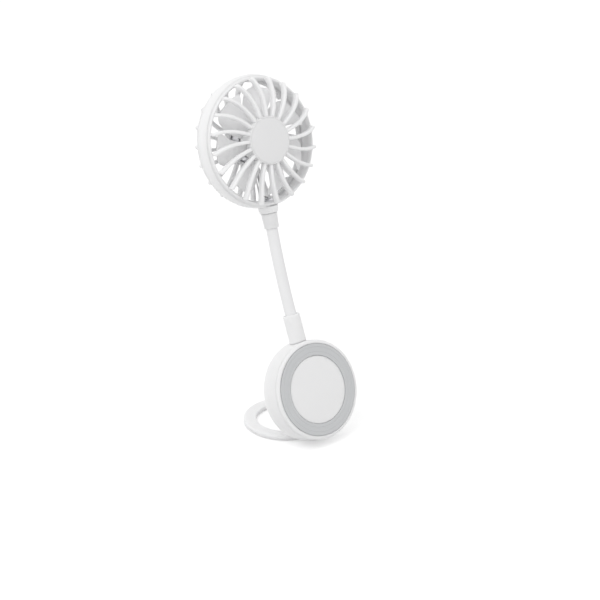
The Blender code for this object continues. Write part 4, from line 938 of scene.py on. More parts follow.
@dataclass
class Disc:
    """The magnetic disc: its two covers, face pad, charging socket, button and light."""

    matrix: Matrix
    radius: float = 0.0300
    depth: float = 0.0150
    wall: float = 0.0016
    face_wall: float = 0.0018
    edge_round: float = 0.0016
    lip_depth: float = 0.0012
    pad_inner: float = 0.0205
    pad_outer: float = 0.0275
    pad_sink: float = 0.0006
    pad_sink_round: float = 0.0002
    pad_height: float = 0.0006
    pad_round: float = 0.00025
    groove_offset: float = 0.0014
    groove_reach: float = 0.0003
    groove_depth: float = 0.0002
    recess_inner: float = 0.0182
    recess_outer: float = 0.0269
    recess_depth: float = 0.0029
    recess_wall: float = 0.0014
    recess_round: float = 0.0004
    mouth_round: float = 0.0003
    bore_depth: float = 0.0040
    neck_bore: float = 0.0027
    button_radius: float = 0.0049
    button_proud: float = 0.0006
    button_round: float = 0.0004
    flange_reach: float = 0.0013
    flange_height: float = 0.0011
    flange_round: float = 0.0002
    dish_radius: float = 0.0044
    dish_depth: float = 0.00042
    dish_shares: tuple[float, ...] = (0.95, 0.7, 0.45, 0.2)
    screw_circle: float = 0.0204
    screw_turn: float = 66.7
    screw_sink: float = 0.0012
    screw_height: float = 0.0008
    light_place: float = -0.0115
    light_radius: float = 0.0009
    light_length: float = 0.0048
    light_shoulder: float = 0.0002
    light_tip: float = 0.00002
    socket_low: float = -0.0008
    socket_height: float = 0.0032
    socket_reach: float = 0.00445
    socket_round: float = 0.00155
    socket_length: float = 0.0076
    socket_inset: float = 0.0008
    socket_wall: float = 0.0003
    socket_floor: float = 0.0010
    slot_round: float = 0.0017
    tongue_thickness: float = 0.0007
    tongue_reach: float = 0.0032
    tongue_round: float = 0.0002
    tongue_inset: float = 0.0010
    tongue_foot: float = 0.0068
    contact_count: int = 12
    contact_pitch: float = 0.0005
    contact_inset: float = 0.0014
    contact_length: float = 0.0024
    contact_width: float = 0.00026
    contact_height: float = 0.00006
    contact_round: float = 0.00005
    contact_lift: float = 0.00036
    hinge_drop: float = 0.0279
    hinge_back: float = 0.00605
    knuckle: float = 0.0040
    notch_above: float = 0.0042
    notch_inside: float = 0.00195
    notch_round: float = 0.0004

    def build(self) -> None:
        """Build every piece of the disc."""
        self.front_cover()
        self.rear_cover()
        self.face_pad()
        self.socket()
        self.button()
        self.light()

    def front_cover(self) -> None:
        """Build the front shell with the sunk seat of its pad and the lip that the rear shell meets."""
        face = self.depth / 2
        inside = face - self.face_wall
        seat = face - self.pad_sink
        skirt, lip = self.radius - self.wall, self.radius - 2 * self.wall
        outline = softened([
            (0, face, 0), (self.pad_inner - GAP, face, self.pad_sink_round), (self.pad_inner - GAP, seat, 0),
            (self.pad_outer + GAP, seat, 0), (self.pad_outer + GAP, face, self.pad_sink_round),
            (self.radius, face, self.edge_round), (self.radius, inside, SEAM_ROUND), (skirt, inside, 0),
            (skirt, inside - self.lip_depth, 0), (lip, inside - self.lip_depth, 0), (lip, inside, 0),
            (0, inside, 0)], LARGE_ROUND_STEPS)
        cover = turned("disc_front_cover", outline, DISC_STEPS)
        hand_in(cover, WHITE, "base", ("base_front_cover",), self.matrix)

    def rear_cover(self) -> None:
        """Build the rear shell with its recess for the stand ring and all its openings."""
        back, face = -self.depth / 2, self.depth / 2
        floor = back + self.recess_depth
        inside = floor + self.recess_wall
        island = self.recess_inner - self.recess_wall
        hole = self.button_radius + GAP
        skirt = face - self.face_wall - GAP
        outline = softened([
            (hole, back + self.recess_wall, 0), (island, back + self.recess_wall, 0), (island, inside, 0),
            (self.radius - self.wall, inside, 0), (self.radius - self.wall, skirt, 0),
            (self.radius, skirt, SEAM_ROUND), (self.radius, back, self.edge_round),
            (self.recess_outer, back, self.mouth_round), (self.recess_outer, floor, self.recess_round),
            (self.recess_inner, floor, self.recess_round), (self.recess_inner, back, self.recess_round),
            (hole, back, self.mouth_round)], ROUND_STEPS)
        cover = turned("disc_rear_cover", outline, DISC_STEPS)
        cutters = [prism("sink", circle(SCREW_HOLE, HOLE_STEPS, place), floor - OVERRUN,
                         floor + self.screw_sink) for place in self.screw_places()]
        light = circle(self.light_radius + GAP, LIGHT_STEPS, (0, self.light_place))
        cutters.append(prism("light_hole", light, back - OVERRUN, back + self.bore_depth))
        cutters += [self.slot(), self.notch(back), self.neck_hole()]
        hand_in(carve(cover, *cutters), WHITE, "base", ("base_rear_cover",), self.matrix)
        Screws("disc_screws", self.screw_places(), floor + self.screw_sink - GAP, self.screw_height,
               ("base_screw_1", "base_screw_2", "base_screw_3"), "base", self.matrix).build()

    def slot(self) -> bpy.types.Object:
        """Make the cutter of the charging socket's opening."""
        low, high = self.socket_low - GAP, self.socket_low + self.socket_height + GAP
        reach = self.socket_reach + GAP
        slot = prism("slot", rectangle(-high, -reach, -low, reach, self.slot_round),
                     self.radius - self.bore_depth, self.radius + OVERRUN)
        return moved(slot, ALONG_X)

    def notch(self, back: float) -> bpy.types.Object:
        """Make the cutter of the notch that the stand's knuckle turns in.

        Args:
            back: The height of the disc's back.

        Returns:
            The cutter.
        """
        side, top = self.knuckle + GAP, -self.hinge_back + self.notch_inside
        outline = rectangle(-side, -self.radius - OVERRUN, side, -self.hinge_drop + self.notch_above,
                            self.notch_round)
        return prism("notch", outline, back - OVERRUN, top)

    def neck_hole(self) -> bpy.types.Object:
        """Make the cutter of the hole that the neck's leads pass."""
        hole = prism("neck_hole", circle(self.neck_bore, SCREW_STEPS), self.radius - self.bore_depth,
                     self.radius + OVERRUN)
        return moved(hole, ALONG_Y)

    def screw_places(self) -> list[tuple[float, float]]:
        """Return the places of the covers' screws."""
        turns = [math.radians(a) for a in (-self.screw_turn, self.screw_turn, 180)]
        return [(self.screw_circle * math.sin(a), self.screw_circle * math.cos(a)) for a in turns]

    def face_pad(self) -> None:
        """Build the soft ring that grips what the disc holds, with two fine grooves in it."""
        low = self.depth / 2 - self.pad_sink + GAP
        high = low + self.pad_height
        middle = (self.pad_inner + self.pad_outer) / 2
        grooves: list[Corner] = []
        for centre in (middle + self.groove_offset, middle - self.groove_offset):
            grooves += [(centre + self.groove_reach, high, FINE_ROUND),
                        (centre, high - self.groove_depth, FINE_ROUND),
                        (centre - self.groove_reach, high, FINE_ROUND)]
        outline = softened([(self.pad_inner, low, 0), (self.pad_outer, low, 0),
                            (self.pad_outer, high, self.pad_round), *grooves,
                            (self.pad_inner, high, self.pad_round)])
        hand_in(turned("grip_ring", outline, PAD_STEPS), PAD, "base", ("face_pad",), self.matrix)

    def socket(self) -> None:
        """Build the charging socket: a rounded shell and its tongue with the contacts."""
        low, high = self.socket_low, self.socket_low + self.socket_height
        mouth, reach, wall = self.radius - self.socket_inset, self.socket_reach, self.socket_wall
        shell = prism("charging_socket", rectangle(-high, -reach, -low, reach, self.socket_round),
                      mouth - self.socket_length, mouth)
        inside = rectangle(-high + wall, -reach + wall, -low - wall, reach - wall, self.socket_round - wall)
        floor = mouth - self.socket_length + self.socket_floor
        pocket = prism("pocket", inside, floor, mouth + FINE_OVERRUN)
        carve(shell, pocket)
        hand_in(moved(shell, ALONG_X), STEEL, "base", ("usb_c_socket",), self.matrix)
        middle, half = (low + high) / 2, self.tongue_thickness / 2
        blade = rectangle(-middle - half, -self.tongue_reach, -middle + half, self.tongue_reach,
                          self.tongue_round)
        tongue = prism("socket_tongue", blade, mouth - self.tongue_foot, mouth - self.tongue_inset)
        hand_in(moved(tongue, ALONG_X), DARK, "base", (), self.matrix)
        self.contacts(mouth, middle)

    def contacts(self, mouth: float, middle: float) -> None:
        """Lay the contacts on both sides of the socket's tongue.

        Args:
            mouth: How far out the socket's mouth is.
            middle: The height of the middle of the tongue.
        """
        half_width, half_height = self.contact_width / 2, self.contact_height / 2
        outline = rectangle(-self.contact_length, -half_width, 0.0, half_width, self.contact_round)
        contact = prism("contact", outline, -half_height, half_height)
        first = -self.contact_pitch * (self.contact_count - 1) / 2
        places = [(mouth - self.contact_inset, first + self.contact_pitch * i,
                   middle + self.contact_lift * side) for i in range(self.contact_count) for side in (-1, 1)]
        sizes = {"Part": contact, "Seed": 1, "Turn": 0.0, "Material": BRASS.material()}
        contacts = cooked("socket_contacts", scatter_recipe(), sizes, places)
        bpy.data.objects.remove(contact)
        hand_in(contacts, BRASS, "base", (), self.matrix)

    def button(self) -> None:
        """Build the power button, dished for a fingertip, with a raised rim."""
        back = -self.depth / 2
        inside = back + self.recess_wall
        end = back - self.button_proud
        flange = self.button_radius + self.flange_reach
        dish = [(self.dish_radius * share, end + self.dish_depth * (1 - share * share), 0)
                for share in self.dish_shares]
        top, seat = inside + self.flange_height, inside + GAP
        outline = softened([(0, top, 0), (flange, top, self.flange_round), (flange, seat, 0),
                            (self.button_radius, seat, 0), (self.button_radius, end, self.button_round),
                            *dish, (0, end + self.dish_depth, 0)], ROUND_STEPS)
        key = turned("power_key", outline, SLEEVE_STEPS)
        hand_in(key, CAP, "power_button", ("power_button",), self.matrix)

    def light(self) -> None:
        """Build the clear light pipe with its slightly domed end."""
        back = -self.depth / 2
        inside, shoulder = back + self.light_length, self.light_shoulder
        outline = softened([(0, inside, 0), (self.light_radius, inside, 0),
                            (self.light_radius, back + shoulder, shoulder), (0, back + self.light_tip, 0)])
        pipe = turned("light_pipe_end", outline, LIGHT_STEPS)
        pipe = moved(pipe, Matrix.Translation((0, self.light_place, 0)))
        hand_in(pipe, CLEAR, "base", ("charge_light",), self.matrix)


@dataclass
class Stand:
    """The hinged ring behind the disc, its knuckle and its rubber foot."""

    hinge: Vector
    inner: float = 0.0185
    outer: float = 0.0260
    top: float = 0.00115
    bottom: float = -0.00135
    inner_round: float = 0.0005
    outer_round: float = 0.0007
    bottom_round: float = 0.0003
    channel_inner: float = 0.0199
    channel_outer: float = 0.0246
    channel_depth: float = 0.0005
    drop: float = 0.0279
    knuckle: float = 0.0040
    knuckle_radius: float = 0.00135
    knuckle_bore: float = 0.00095
    knuckle_round: float = 0.0002
    arm_inset: float = 0.0002
    arm_low: float = 0.0009
    arm_high: float = 0.0031
    foot_inner: float = 0.0202
    foot_outer: float = 0.0243
    foot_seat: float = 0.0002
    foot_proud: float = 0.0008
    foot_round: float = 0.0002
    groove_middle: float = 0.02225
    groove_pitch: float = 0.0012
    groove_reach: float = 0.0002
    groove_depth: float = 0.00025

    def build(self) -> None:
        """Build the ring and its foot."""
        middle = Matrix.Translation((0, self.drop, 0))
        place = Matrix.Translation(self.hinge)
        self.ring(middle, place)
        self.foot(middle, place)

    def ring(self, middle: Matrix, place: Matrix) -> None:
        """Build the ring with its knuckle and the channel for its foot.

        Args:
            middle: The ring's middle, from the hinge.
            place: The hinge's place.
        """
        roof = self.bottom + self.channel_depth
        outline = softened([(self.inner, self.top, self.inner_round),
                            (self.outer, self.top, self.outer_round),
                            (self.outer, self.bottom, self.bottom_round),
                            (self.channel_outer, self.bottom, FINE_ROUND), (self.channel_outer, roof, 0),
                            (self.channel_inner, roof, 0), (self.channel_inner, self.bottom, FINE_ROUND),
                            (self.inner, self.bottom, self.bottom_round)], ROUND_STEPS)
        ring = moved(turned("support_ring", outline, PAD_STEPS), middle)
        barrel = [(self.knuckle_bore, self.knuckle, FINE_ROUND),
                  (self.knuckle_radius, self.knuckle, self.knuckle_round),
                  (self.knuckle_radius, -self.knuckle, self.knuckle_round),
                  (self.knuckle_bore, -self.knuckle, FINE_ROUND)]
        knuckle = moved(turned("knuckle", softened(barrel, SMALL_ROUND_STEPS), KNUCKLE_STEPS), ALONG_X)
        side = self.knuckle - self.arm_inset
        arm = prism("arm", rectangle(-side, self.arm_low, side, self.arm_high, FINE_ROUND),
                    self.bottom + self.arm_inset, self.top - self.arm_inset)
        carve(ring, arm, knuckle, operation="UNION")
        hand_in(ring, WHITE, "stand", ("stand_ring",), place)

    def foot(self, middle: Matrix, place: Matrix) -> None:
        """Build the rubber foot with its three grooves.

        Args:
            middle: The ring's middle, from the hinge.
            place: The hinge's place.
        """
        low, seat = self.bottom - self.foot_proud, self.bottom + self.foot_seat
        grooves: list[Corner] = []
        for i in (1, 0, -1):
            centre = self.groove_middle + self.groove_pitch * i
            grooves += [(centre + self.groove_reach, low, FINE_ROUND / 2),
                        (centre, low + self.groove_depth, FINE_ROUND),
                        (centre - self.groove_reach, low, FINE_ROUND / 2)]
        outline = softened([(self.foot_inner, seat, 0), (self.foot_outer, seat, 0),
                            (self.foot_outer, low, self.foot_round), *grooves,
                            (self.foot_inner, low, self.foot_round)])
        foot = moved(turned("rubber_foot", outline, PAD_STEPS), middle)
        hand_in(foot, PAD, "stand", ("stand_foot_pad",), place)


@dataclass
class Neck:
    """The bending neck: one smooth skin over its links, and a sleeve at each end."""

    frames: Frames
    radius: float = 0.0035
    joints: int = 8
    ring_steps: int = 36
    bend_steps: int = 8
    root_foot: float = 0.0306
    end_reach: float = 0.0033
    sleeve_reach: float = 0.0036
    sleeve_low: float = 0.0280
    sleeve_top: float = 0.0470
    sleeve_radius: float = 0.0052
    sleeve_round: float = 0.0005
    sleeve_mouth_round: float = 0.0002
    saddle_reach: float = 0.0080
    upper_top: float = 0.0049
    upper_low: float = 0.0044
    upper_length: float = 0.0090
    upper_round: float = 0.0003
    upper_seam_round: float = 0.00015
    head_drop: float = 0.0433
    neck_plane: float = -0.0010

    def build(self) -> None:
        """Build the skin and both sleeves."""
        self.root()
        self.skin()
        self.lower_sleeve()
        self.upper_sleeve()

    def joint_places(self) -> list[Vector]:
        """Return the places of the neck's joints, from the disc up."""
        names = [f"neck_{kind}_{i}" for i in range(1, self.joints // 2 + 1) for kind in ("pitch", "roll")]
        return [self.frames.joints[name] for name in names]

    def tube(self, name: str, path: list[tuple[Vector, Vector]]) -> bpy.types.Object:
        """Make a closed round bar of the neck's thickness along a path.

        Args:
            name: The piece's name.
            path: Each ring's centre and direction.

        Returns:
            The bar.
        """
        bm = bmesh.new()
        out = self.frames.disc.to_3x3().col[2]
        steps, rings = self.ring_steps, []
        for centre, ahead in path:
            side = ahead.cross(out).normalized()
            front = side.cross(ahead).normalized()
            turns = [2 * math.pi * i / steps for i in range(steps)]
            rings.append([bm.verts.new(centre + (side * math.cos(a) + front * math.sin(a)) * self.radius)
                          for a in turns])
        for low, high in zip(rings, rings[1:]):
            for i in range(steps):
                j = (i + 1) % steps
                bm.faces.new((low[i], low[j], high[j], high[i]))
        bm.faces.new(rings[0][::-1])
        bm.faces.new(rings[-1])
        return new_object(name, bm)

    def root(self) -> None:
        """Build the part of the neck that the lower sleeve hides."""
        up = self.frames.disc.to_3x3().col[1]
        first = self.joint_places()[0]
        foot = first - up * (self.sleeve_top + self.end_reach - self.root_foot)
        path = [(foot, up), (first - up * self.sleeve_reach, up)]
        hand_in(self.tube("neck_root_bar", path), SKIN, "base", ("neck_root",))

    def skin(self) -> None:
        """Build the skin in one length for each joint, curved through it."""
        places = self.joint_places()
        up, head_up = self.frames.disc.to_3x3().col[1], self.frames.head.to_3x3().col[1]
        ends = [places[0] - up * self.sleeve_reach]
        ends += [(a + b) / 2 for a, b in zip(places, places[1:])]
        ends.append(places[-1] + head_up * self.sleeve_reach)
        bodies = ["base"] + [f"neck_{i}" for i in range(1, self.joints)] + ["head"]
        nodes = [f"neck_link_{i}" for i in range(1, self.joints)] + ["neck_tip"]
        for i, joint in enumerate(places):
            start, end = ends[i], ends[i + 1]
            path = []
            for k in range(self.bend_steps + 1):
                share = k / self.bend_steps
                centre = start * (1 - share) ** 2 + joint * 2 * share * (1 - share) + end * share ** 2
                ahead = (joint - start) * (1 - share) + (end - joint) * share
                path.append((centre, ahead.normalized()))
            skin = self.tube(f"neck_skin_{i + 1}", path)
            hand_in(skin, SKIN, bodies[i], (nodes[i],), None, (bodies[i + 1], tuple(start), tuple(end)))

    def lower_sleeve(self) -> None:
        """Build the straight sleeve that stands on the disc."""
        inner, low = self.radius + GAP, self.sleeve_low
        outline = softened([(inner, self.sleeve_top, self.sleeve_mouth_round),
                            (self.sleeve_radius, self.sleeve_top, self.sleeve_round),
                            (self.sleeve_radius, low, 0), (inner, low, 0)], ROUND_STEPS)
        sleeve = moved(turned("foot_sleeve", outline, SLEEVE_STEPS), ALONG_Y)
        saddle = prism("saddle", circle(Disc.radius + GAP, SADDLE_STEPS), -self.saddle_reach,
                       self.saddle_reach)
        hand_in(carve(sleeve, saddle), WHITE, "base", ("lower_sleeve",), self.frames.disc)

    def upper_sleeve(self) -> None:
        """Build the tapered sleeve under the head's collar."""
        inner, top = self.radius + GAP, -self.head_drop
        low = top - self.upper_length
        outline = softened([(inner, top, 0), (self.upper_top, top, self.upper_seam_round),
                            (self.upper_low, low, self.upper_round), (inner, low, FINE_ROUND)])
        sleeve = turned("head_sleeve", outline, SLEEVE_STEPS)
        sleeve = moved(sleeve, Matrix.Translation((0, 0, self.neck_plane)) @ ALONG_Y)
        hand_in(sleeve, WHITE, "head", ("upper_sleeve",), self.frames.head)


@dataclass
class Head:
    """The fan's head: ring, collar, both grilles with their fins, cap and motor can."""

    matrix: Matrix
    radius: float = 0.0397
    belly: float = 0.0017
    belly_plane: float = -0.0015
    belly_reach: float = 0.0065
    belly_steps: int = 16
    wall: float = 0.0025
    ring_front: float = 0.0032
    ring_back: float = -0.0052
    seam_share: float = 0.45
    front_rim_depth: float = 0.0015
    rear_rim_depth: float = 0.0025
    rim_round: float = 0.0006
    rim_inset: float = 0.0001
    land_round: float = 0.0003
    front_land: float = 0.0359
    front_mouth: float = 0.0370
    mouth_round: float = 0.0002
    rear_land: float = 0.0354
    spigot_depth: float = 0.0035
    spigot_round: float = 0.0002
    notch_reach: float = 0.0048
    notch_back: float = -0.0030
    notch_round: float = 0.0003
    fin_count: int = 20
    fin_phase: float = -4.1
    rear_fin_turn: float = 3.4
    fin_sweep: float = 10.0
    fin_thickness: float = 0.0021
    fin_round_share: float = 0.14
    front_fin_depth: float = 0.0038
    rear_fin_depth: float = 0.0032
    front_fin_proud: float = 0.0031
    rear_fin_proud: float = 0.0022
    fin_crest: float = 0.0378
    fin_foot: float = 0.0368
    fin_sink: float = 0.0003
    fin_lift: float = 0.0001
    rear_fin_overlap: float = 0.00065
    hub_front: float = 0.0130
    hub_radius: float = 0.0142
    hub_lip: float = 0.0007
    hub_lip_round: float = 0.0002
    hub_round: float = 0.0003
    hub_plate: float = 0.0023
    cap_sink: float = 0.0015
    cap_play: float = 0.00005
    rear_hub: float = -0.0150
    cup_inner: float = 0.0123
    cup_outer: float = 0.0136
    cup_floor: float = 0.0020
    cup_depth: float = 0.0035
    cup_inner_round: float = 0.0002
    cup_mouth_round: float = 0.0003
    cup_round: float = 0.0008
    can_radius: float = 0.0120
    can_bore: float = 0.0032
    can_length: float = 0.0105
    can_round: float = 0.0007
    can_wall: float = 0.0007
    can_face: float = 0.0008
    neck_plane: float = -0.0010
    collar_radius: float = 0.0060
    collar_step: float = 0.0056
    collar_length: float = 0.0033
    collar_height: float = 0.0052
    collar_step_height: float = 0.0013
    collar_round: float = 0.0003
    collar_front: float = 0.0120
    collar_back: float = -0.0140
    screw_count: int = 4
    screw_circle: float = 0.0357
    screw_height: float = 0.0008
    screw_seat: float = 0.0002
    screw_fins: float = 2.5
    lug_radius: float = 0.0021
    lug_inset: float = 0.0001
    motor_screw_place: float = 0.0060
    motor_screw_height: float = 0.0006
    motor_screw_seat: float = 0.0007
    motor_screw_sink: float = 0.0010

    def build(self) -> None:
        """Build every piece of the head."""
        self.fins_tree = fin_recipe()
        self.ring()
        self.front_grille()
        self.rear_grille()
        self.cap()
        self.motor()

    def ring(self) -> None:
        """Build the round ring and the stepped collar under it."""
        inner, seam = self.radius - self.wall, GAP * self.seam_share
        front, back = self.ring_front + seam, self.ring_back - seam
        heights = [front + (back - front) * i / self.belly_steps for i in range(self.belly_steps + 1)]
        belly = [(self.belly_at(z), z) for z in heights]
        outline = [(inner, self.ring_front), *belly, (inner, self.ring_back)]
        hand_in(turned("head_band", outline, HEAD_STEPS), WHITE, "head", ("head_ring",), self.matrix)
        foot = -self.radius - self.collar_length
        top, step = foot + self.collar_height, foot + self.collar_step_height
        outline = softened([(0, top, 0), (self.collar_radius, top, 0),
                            (self.collar_radius, step, self.collar_round),
                            (self.collar_step, step, FINE_ROUND),
                            (self.collar_step, foot, self.collar_round), (0, foot, 0)])
        collar = turned("head_collar", outline, SLEEVE_STEPS)
        collar = moved(collar, Matrix.Translation((0, 0, self.neck_plane)) @ ALONG_Y)
        front_clear, back_clear = self.belly_at(self.ring_front) + GAP, self.belly_at(self.ring_back) + GAP
        bands = [prism("band", circle(front_clear, HEAD_STEPS), self.ring_front, self.collar_front),
                 prism("band", circle(back_clear, HEAD_STEPS), self.collar_back, self.ring_back)]
        hand_in(carve(collar, *bands), WHITE, "head", (), self.matrix)

    def belly_at(self, height: float) -> float:
        """Return the radius of the head's outside at a height."""
        return self.radius - self.belly * ((height - self.belly_plane) / self.belly_reach) ** 2

    def fins(self, name: str, sign: int, hub: float, start: float, crests: tuple[float, float],
             feet: tuple[float, float]) -> None:
        """Cook one grille's fins.

        Args:
            name: The piece's name.
            sign: 1 for the front, -1 for the rear, whose fins sweep the other way.
            hub: The radius where the sweep is full.
            start: The radius where the fins start.
            crests: Heights of the fins' crest at the hub and at the rim.
            feet: Heights of the fins' foot at the hub and at the rim.
        """
        phase = self.fin_phase if sign > 0 else self.rear_phase()
        sizes = {"Count": self.fin_count, "Phase": math.radians(phase), "Hub Radius": hub,
                 "Sweep": math.radians(self.fin_sweep * sign), "Sweep Radius": self.radius,
                 "Start Radius": start, "Crest Radius": self.fin_crest, "Foot Radius": self.fin_foot,
                 "Hub Crest": crests[0], "Rim Crest": crests[1], "Hub Foot": feet[0], "Rim Foot": feet[1],
                 "Thickness": self.fin_thickness, "Round Share": self.fin_round_share,
                 "Material": WHITE.material()}
        node = "front_grille" if sign > 0 else "rear_grille"
        hand_in(cooked(name, self.fins_tree, sizes), WHITE, "head", (node,), self.matrix)

    def rear_phase(self) -> float:
        """Return how far round the first rear fin is."""
        return self.fin_phase + 180 / self.fin_count + self.rear_fin_turn

    def front_grille(self) -> None:
        """Build the front grille's rim, hub and fins."""
        low = self.ring_front + GAP
        top, back = low + self.front_rim_depth, low - self.spigot_depth
        spigot = self.radius - self.wall - GAP
        outline = softened([(self.front_mouth, top, self.mouth_round),
                            (self.belly_at(top) - self.rim_inset, top, self.rim_round),
                            (self.belly_at(low), low, 0), (spigot, low, 0),
                            (spigot, back, self.spigot_round), (self.front_land, back, self.spigot_round),
                            (self.front_land, low, self.land_round)], ROUND_STEPS)
        rim = turned("front_rim", outline, HEAD_STEPS)
        outline = rectangle(-self.notch_reach, -self.radius, self.notch_reach, OVERRUN - self.front_land,
                            self.notch_round)
        notch = prism("notch", outline, self.notch_back, self.ring_front)
        hand_in(carve(rim, notch), WHITE, "head", ("front_grille",), self.matrix)
        self.front_hub()
        crest = self.hub_front - self.fin_sink
        self.fins("front_fins", 1, self.hub_radius, self.hub_radius - self.hub_lip / 2,
                  (crest, top + self.front_fin_proud), (crest - self.front_fin_depth, low + self.fin_lift))

    def front_hub(self) -> None:
        """Build the front grille's hub, with the lip round its cap."""
        floor, lip = self.hub_front - self.cap_sink, self.hub_radius - self.hub_lip
        back = floor - self.hub_plate
        outline = softened([(0, floor, 0), (lip, floor, 0), (lip, self.hub_front, self.hub_lip_round),
                            (self.hub_radius, self.hub_front, self.hub_round),
                            (self.hub_radius, back, self.hub_round), (0, back, 0)], ROUND_STEPS)
        hand_in(turned("front_hub", outline, HUB_STEPS), WHITE, "head", ("front_grille",), self.matrix)

    def rear_grille(self) -> None:
        """Build the rear grille's rim, lugs, motor cup, fins and screws."""
        top = self.ring_back - GAP
        low = top - self.rear_rim_depth
        outline = softened([(self.rear_land, top, FINE_ROUND), (self.belly_at(top), top, 0),
                            (self.belly_at(low) - self.rim_inset, low, self.rim_round),
                            (self.rear_land, low, self.land_round)], ROUND_STEPS)
        rim = turned("rear_rim", outline, HEAD_STEPS)
        lugs = [prism("lug", circle(self.lug_radius, SCREW_STEPS, place), low + self.lug_inset,
                      top - self.lug_inset) for place in self.screw_places()]
        carve(rim, *lugs, operation="UNION")
        hand_in(rim, WHITE, "head", ("rear_grille",), self.matrix)
        self.motor_cup()
        crest = self.rear_hub + self.fin_sink
        self.fins("rear_fins", -1, self.cup_outer, self.cup_outer - self.rear_fin_overlap,
                  (crest, low - self.rear_fin_proud), (crest + self.rear_fin_depth, top - self.fin_lift))
        Screws("rear_screws", self.screw_places(), low - self.screw_seat, self.screw_height,
               ("head_screw_1", "head_screw_2", "head_screw_3", "head_screw_4"), "head", self.matrix).build()
        Screws("motor_screws", self.motor_screw_places(), self.rear_hub + self.motor_screw_seat,
               self.motor_screw_height, ("motor_screw_1", "motor_screw_2"), "head", self.matrix).build()

    def motor_cup(self) -> None:
        """Build the rear grille's cup for the motor, with the sinks of its screws."""
        plate = self.rear_hub + self.cup_floor
        rim = plate + self.cup_depth
        outline = softened([(0, plate, 0), (self.cup_inner, plate, 0),
                            (self.cup_inner, rim, self.cup_inner_round),
                            (self.cup_outer, rim, self.cup_mouth_round),
                            (self.cup_outer, self.rear_hub, self.cup_round), (0, self.rear_hub, 0)],
                           ROUND_STEPS)
        cup = turned("motor_cup", outline, HUB_STEPS)
        sinks = [prism("sink", circle(SCREW_HOLE, HOLE_STEPS, place), self.rear_hub - OVERRUN,
                       self.rear_hub + self.motor_screw_sink) for place in self.motor_screw_places()]
        hand_in(carve(cup, *sinks), WHITE, "head", ("rear_grille",), self.matrix)

    def motor_screw_places(self) -> list[tuple[float, float]]:
        """Return the places of the motor's screws."""
        return [(-self.motor_screw_place, 0.0), (self.motor_screw_place, 0.0)]

    def screw_places(self) -> list[tuple[float, float]]:
        """Find the places of the rear grille's screws, midway between two fins.

        Returns:
            X and Y of each.
        """
        pitch = 360 / self.fin_count
        share = (self.screw_circle - self.cup_outer) / (self.radius - self.cup_outer)
        start = self.rear_phase() - self.fin_sweep * (1 - share ** 2) + self.screw_fins * pitch
        turns = [math.radians(start + 360 / self.screw_count * i) for i in range(self.screw_count)]
        return [(self.screw_circle * math.sin(a), self.screw_circle * math.cos(a)) for a in turns]

    def cap(self) -> None:
        """Build the flat cap in the hub."""
        floor, edge = self.hub_front - self.cap_sink + GAP, self.hub_radius - self.hub_lip - self.cap_play
        outline = softened([(0, floor, 0), (edge, floor, 0), (edge, self.hub_front, FINE_ROUND),
                            (0, self.hub_front, 0)], ROUND_STEPS)
        hand_in(turned("hub_disc", outline, HUB_STEPS), CAP, "head", ("hub_cap",), self.matrix)

    def motor(self) -> None:
        """Build the motor's can, rounded at its front edge."""
        back = self.rear_hub + self.cup_floor + GAP
        front = back + self.can_length
        inner, inside = self.can_radius - self.can_wall, front - self.can_face
        outline = softened([(self.can_bore, front, FINE_ROUND), (self.can_radius, front, self.can_round),
                            (self.can_radius, back, 0), (inner, back, 0), (inner, inside, 0),
                            (self.can_bore, inside, 0)], ROUND_STEPS)
        hand_in(turned("motor_shell", outline, MOTOR_STEPS), STEEL, "head", ("motor_can",), self.matrix)


@dataclass
class Rotor:
    """The rotor: the hub that goes over the motor's can, and its twisted blades."""

    matrix: Matrix
    front: float = 0.0083
    back: float = -0.0010
    radius: float = 0.0115
    edge_round: float = 0.0014
    skirt_round: float = 0.0002
    wall: float = 0.0012
    boss_radius: float = 0.0030
    bore: float = 0.0013
    bore_end: float = 0.0063
    blade_count: int = 7
    blade_root: float = 0.0007
    blade_tip: float = 0.0317
    root_chord: float = 0.0100
    tip_chord: float = 0.0210
    root_pitch: float = 38.0
    tip_pitch: float = 15.0
    blade_middle: float = 0.0027
    blade_sweep: float = 16.0
    blade_thickness: float = 0.0010

    def build(self) -> None:
        """Build the hub and the blades."""
        self.hub()
        self.blades()

    def hub(self) -> None:
        """Build the hub, rounded in front, with a boss for the shaft inside."""
        plate, skirt = self.front - self.wall, self.radius - self.wall
        outline = softened([(0, self.front, 0), (self.radius, self.front, self.edge_round),
                            (self.radius, self.back, self.skirt_round), (skirt, self.back, self.skirt_round),
                            (skirt, plate, 0), (self.boss_radius, plate, 0),
                            (self.boss_radius, self.back, 0), (self.bore, self.back, 0),
                            (self.bore, self.bore_end, 0), (0, self.bore_end, 0)], LARGE_ROUND_STEPS)
        hand_in(turned("rotor_hub", outline, MOTOR_STEPS), WHITE, "rotor", ("rotor",), self.matrix)

    def blades(self) -> None:
        """Cook the blades."""
        sizes = {"Count": self.blade_count, "Root Radius": self.radius - self.blade_root,
                 "Tip Radius": self.blade_tip, "Root Chord": self.root_chord, "Tip Chord": self.tip_chord,
                 "Root Pitch": math.radians(self.root_pitch), "Tip Pitch": math.radians(self.tip_pitch),
                 "Middle": self.blade_middle, "Sweep": math.radians(self.blade_sweep),
                 "Thickness": self.blade_thickness, "Material": WHITE.material()}
        hand_in(cooked("rotor_blades", blade_recipe(), sizes), WHITE, "rotor", ("rotor",), self.matrix)


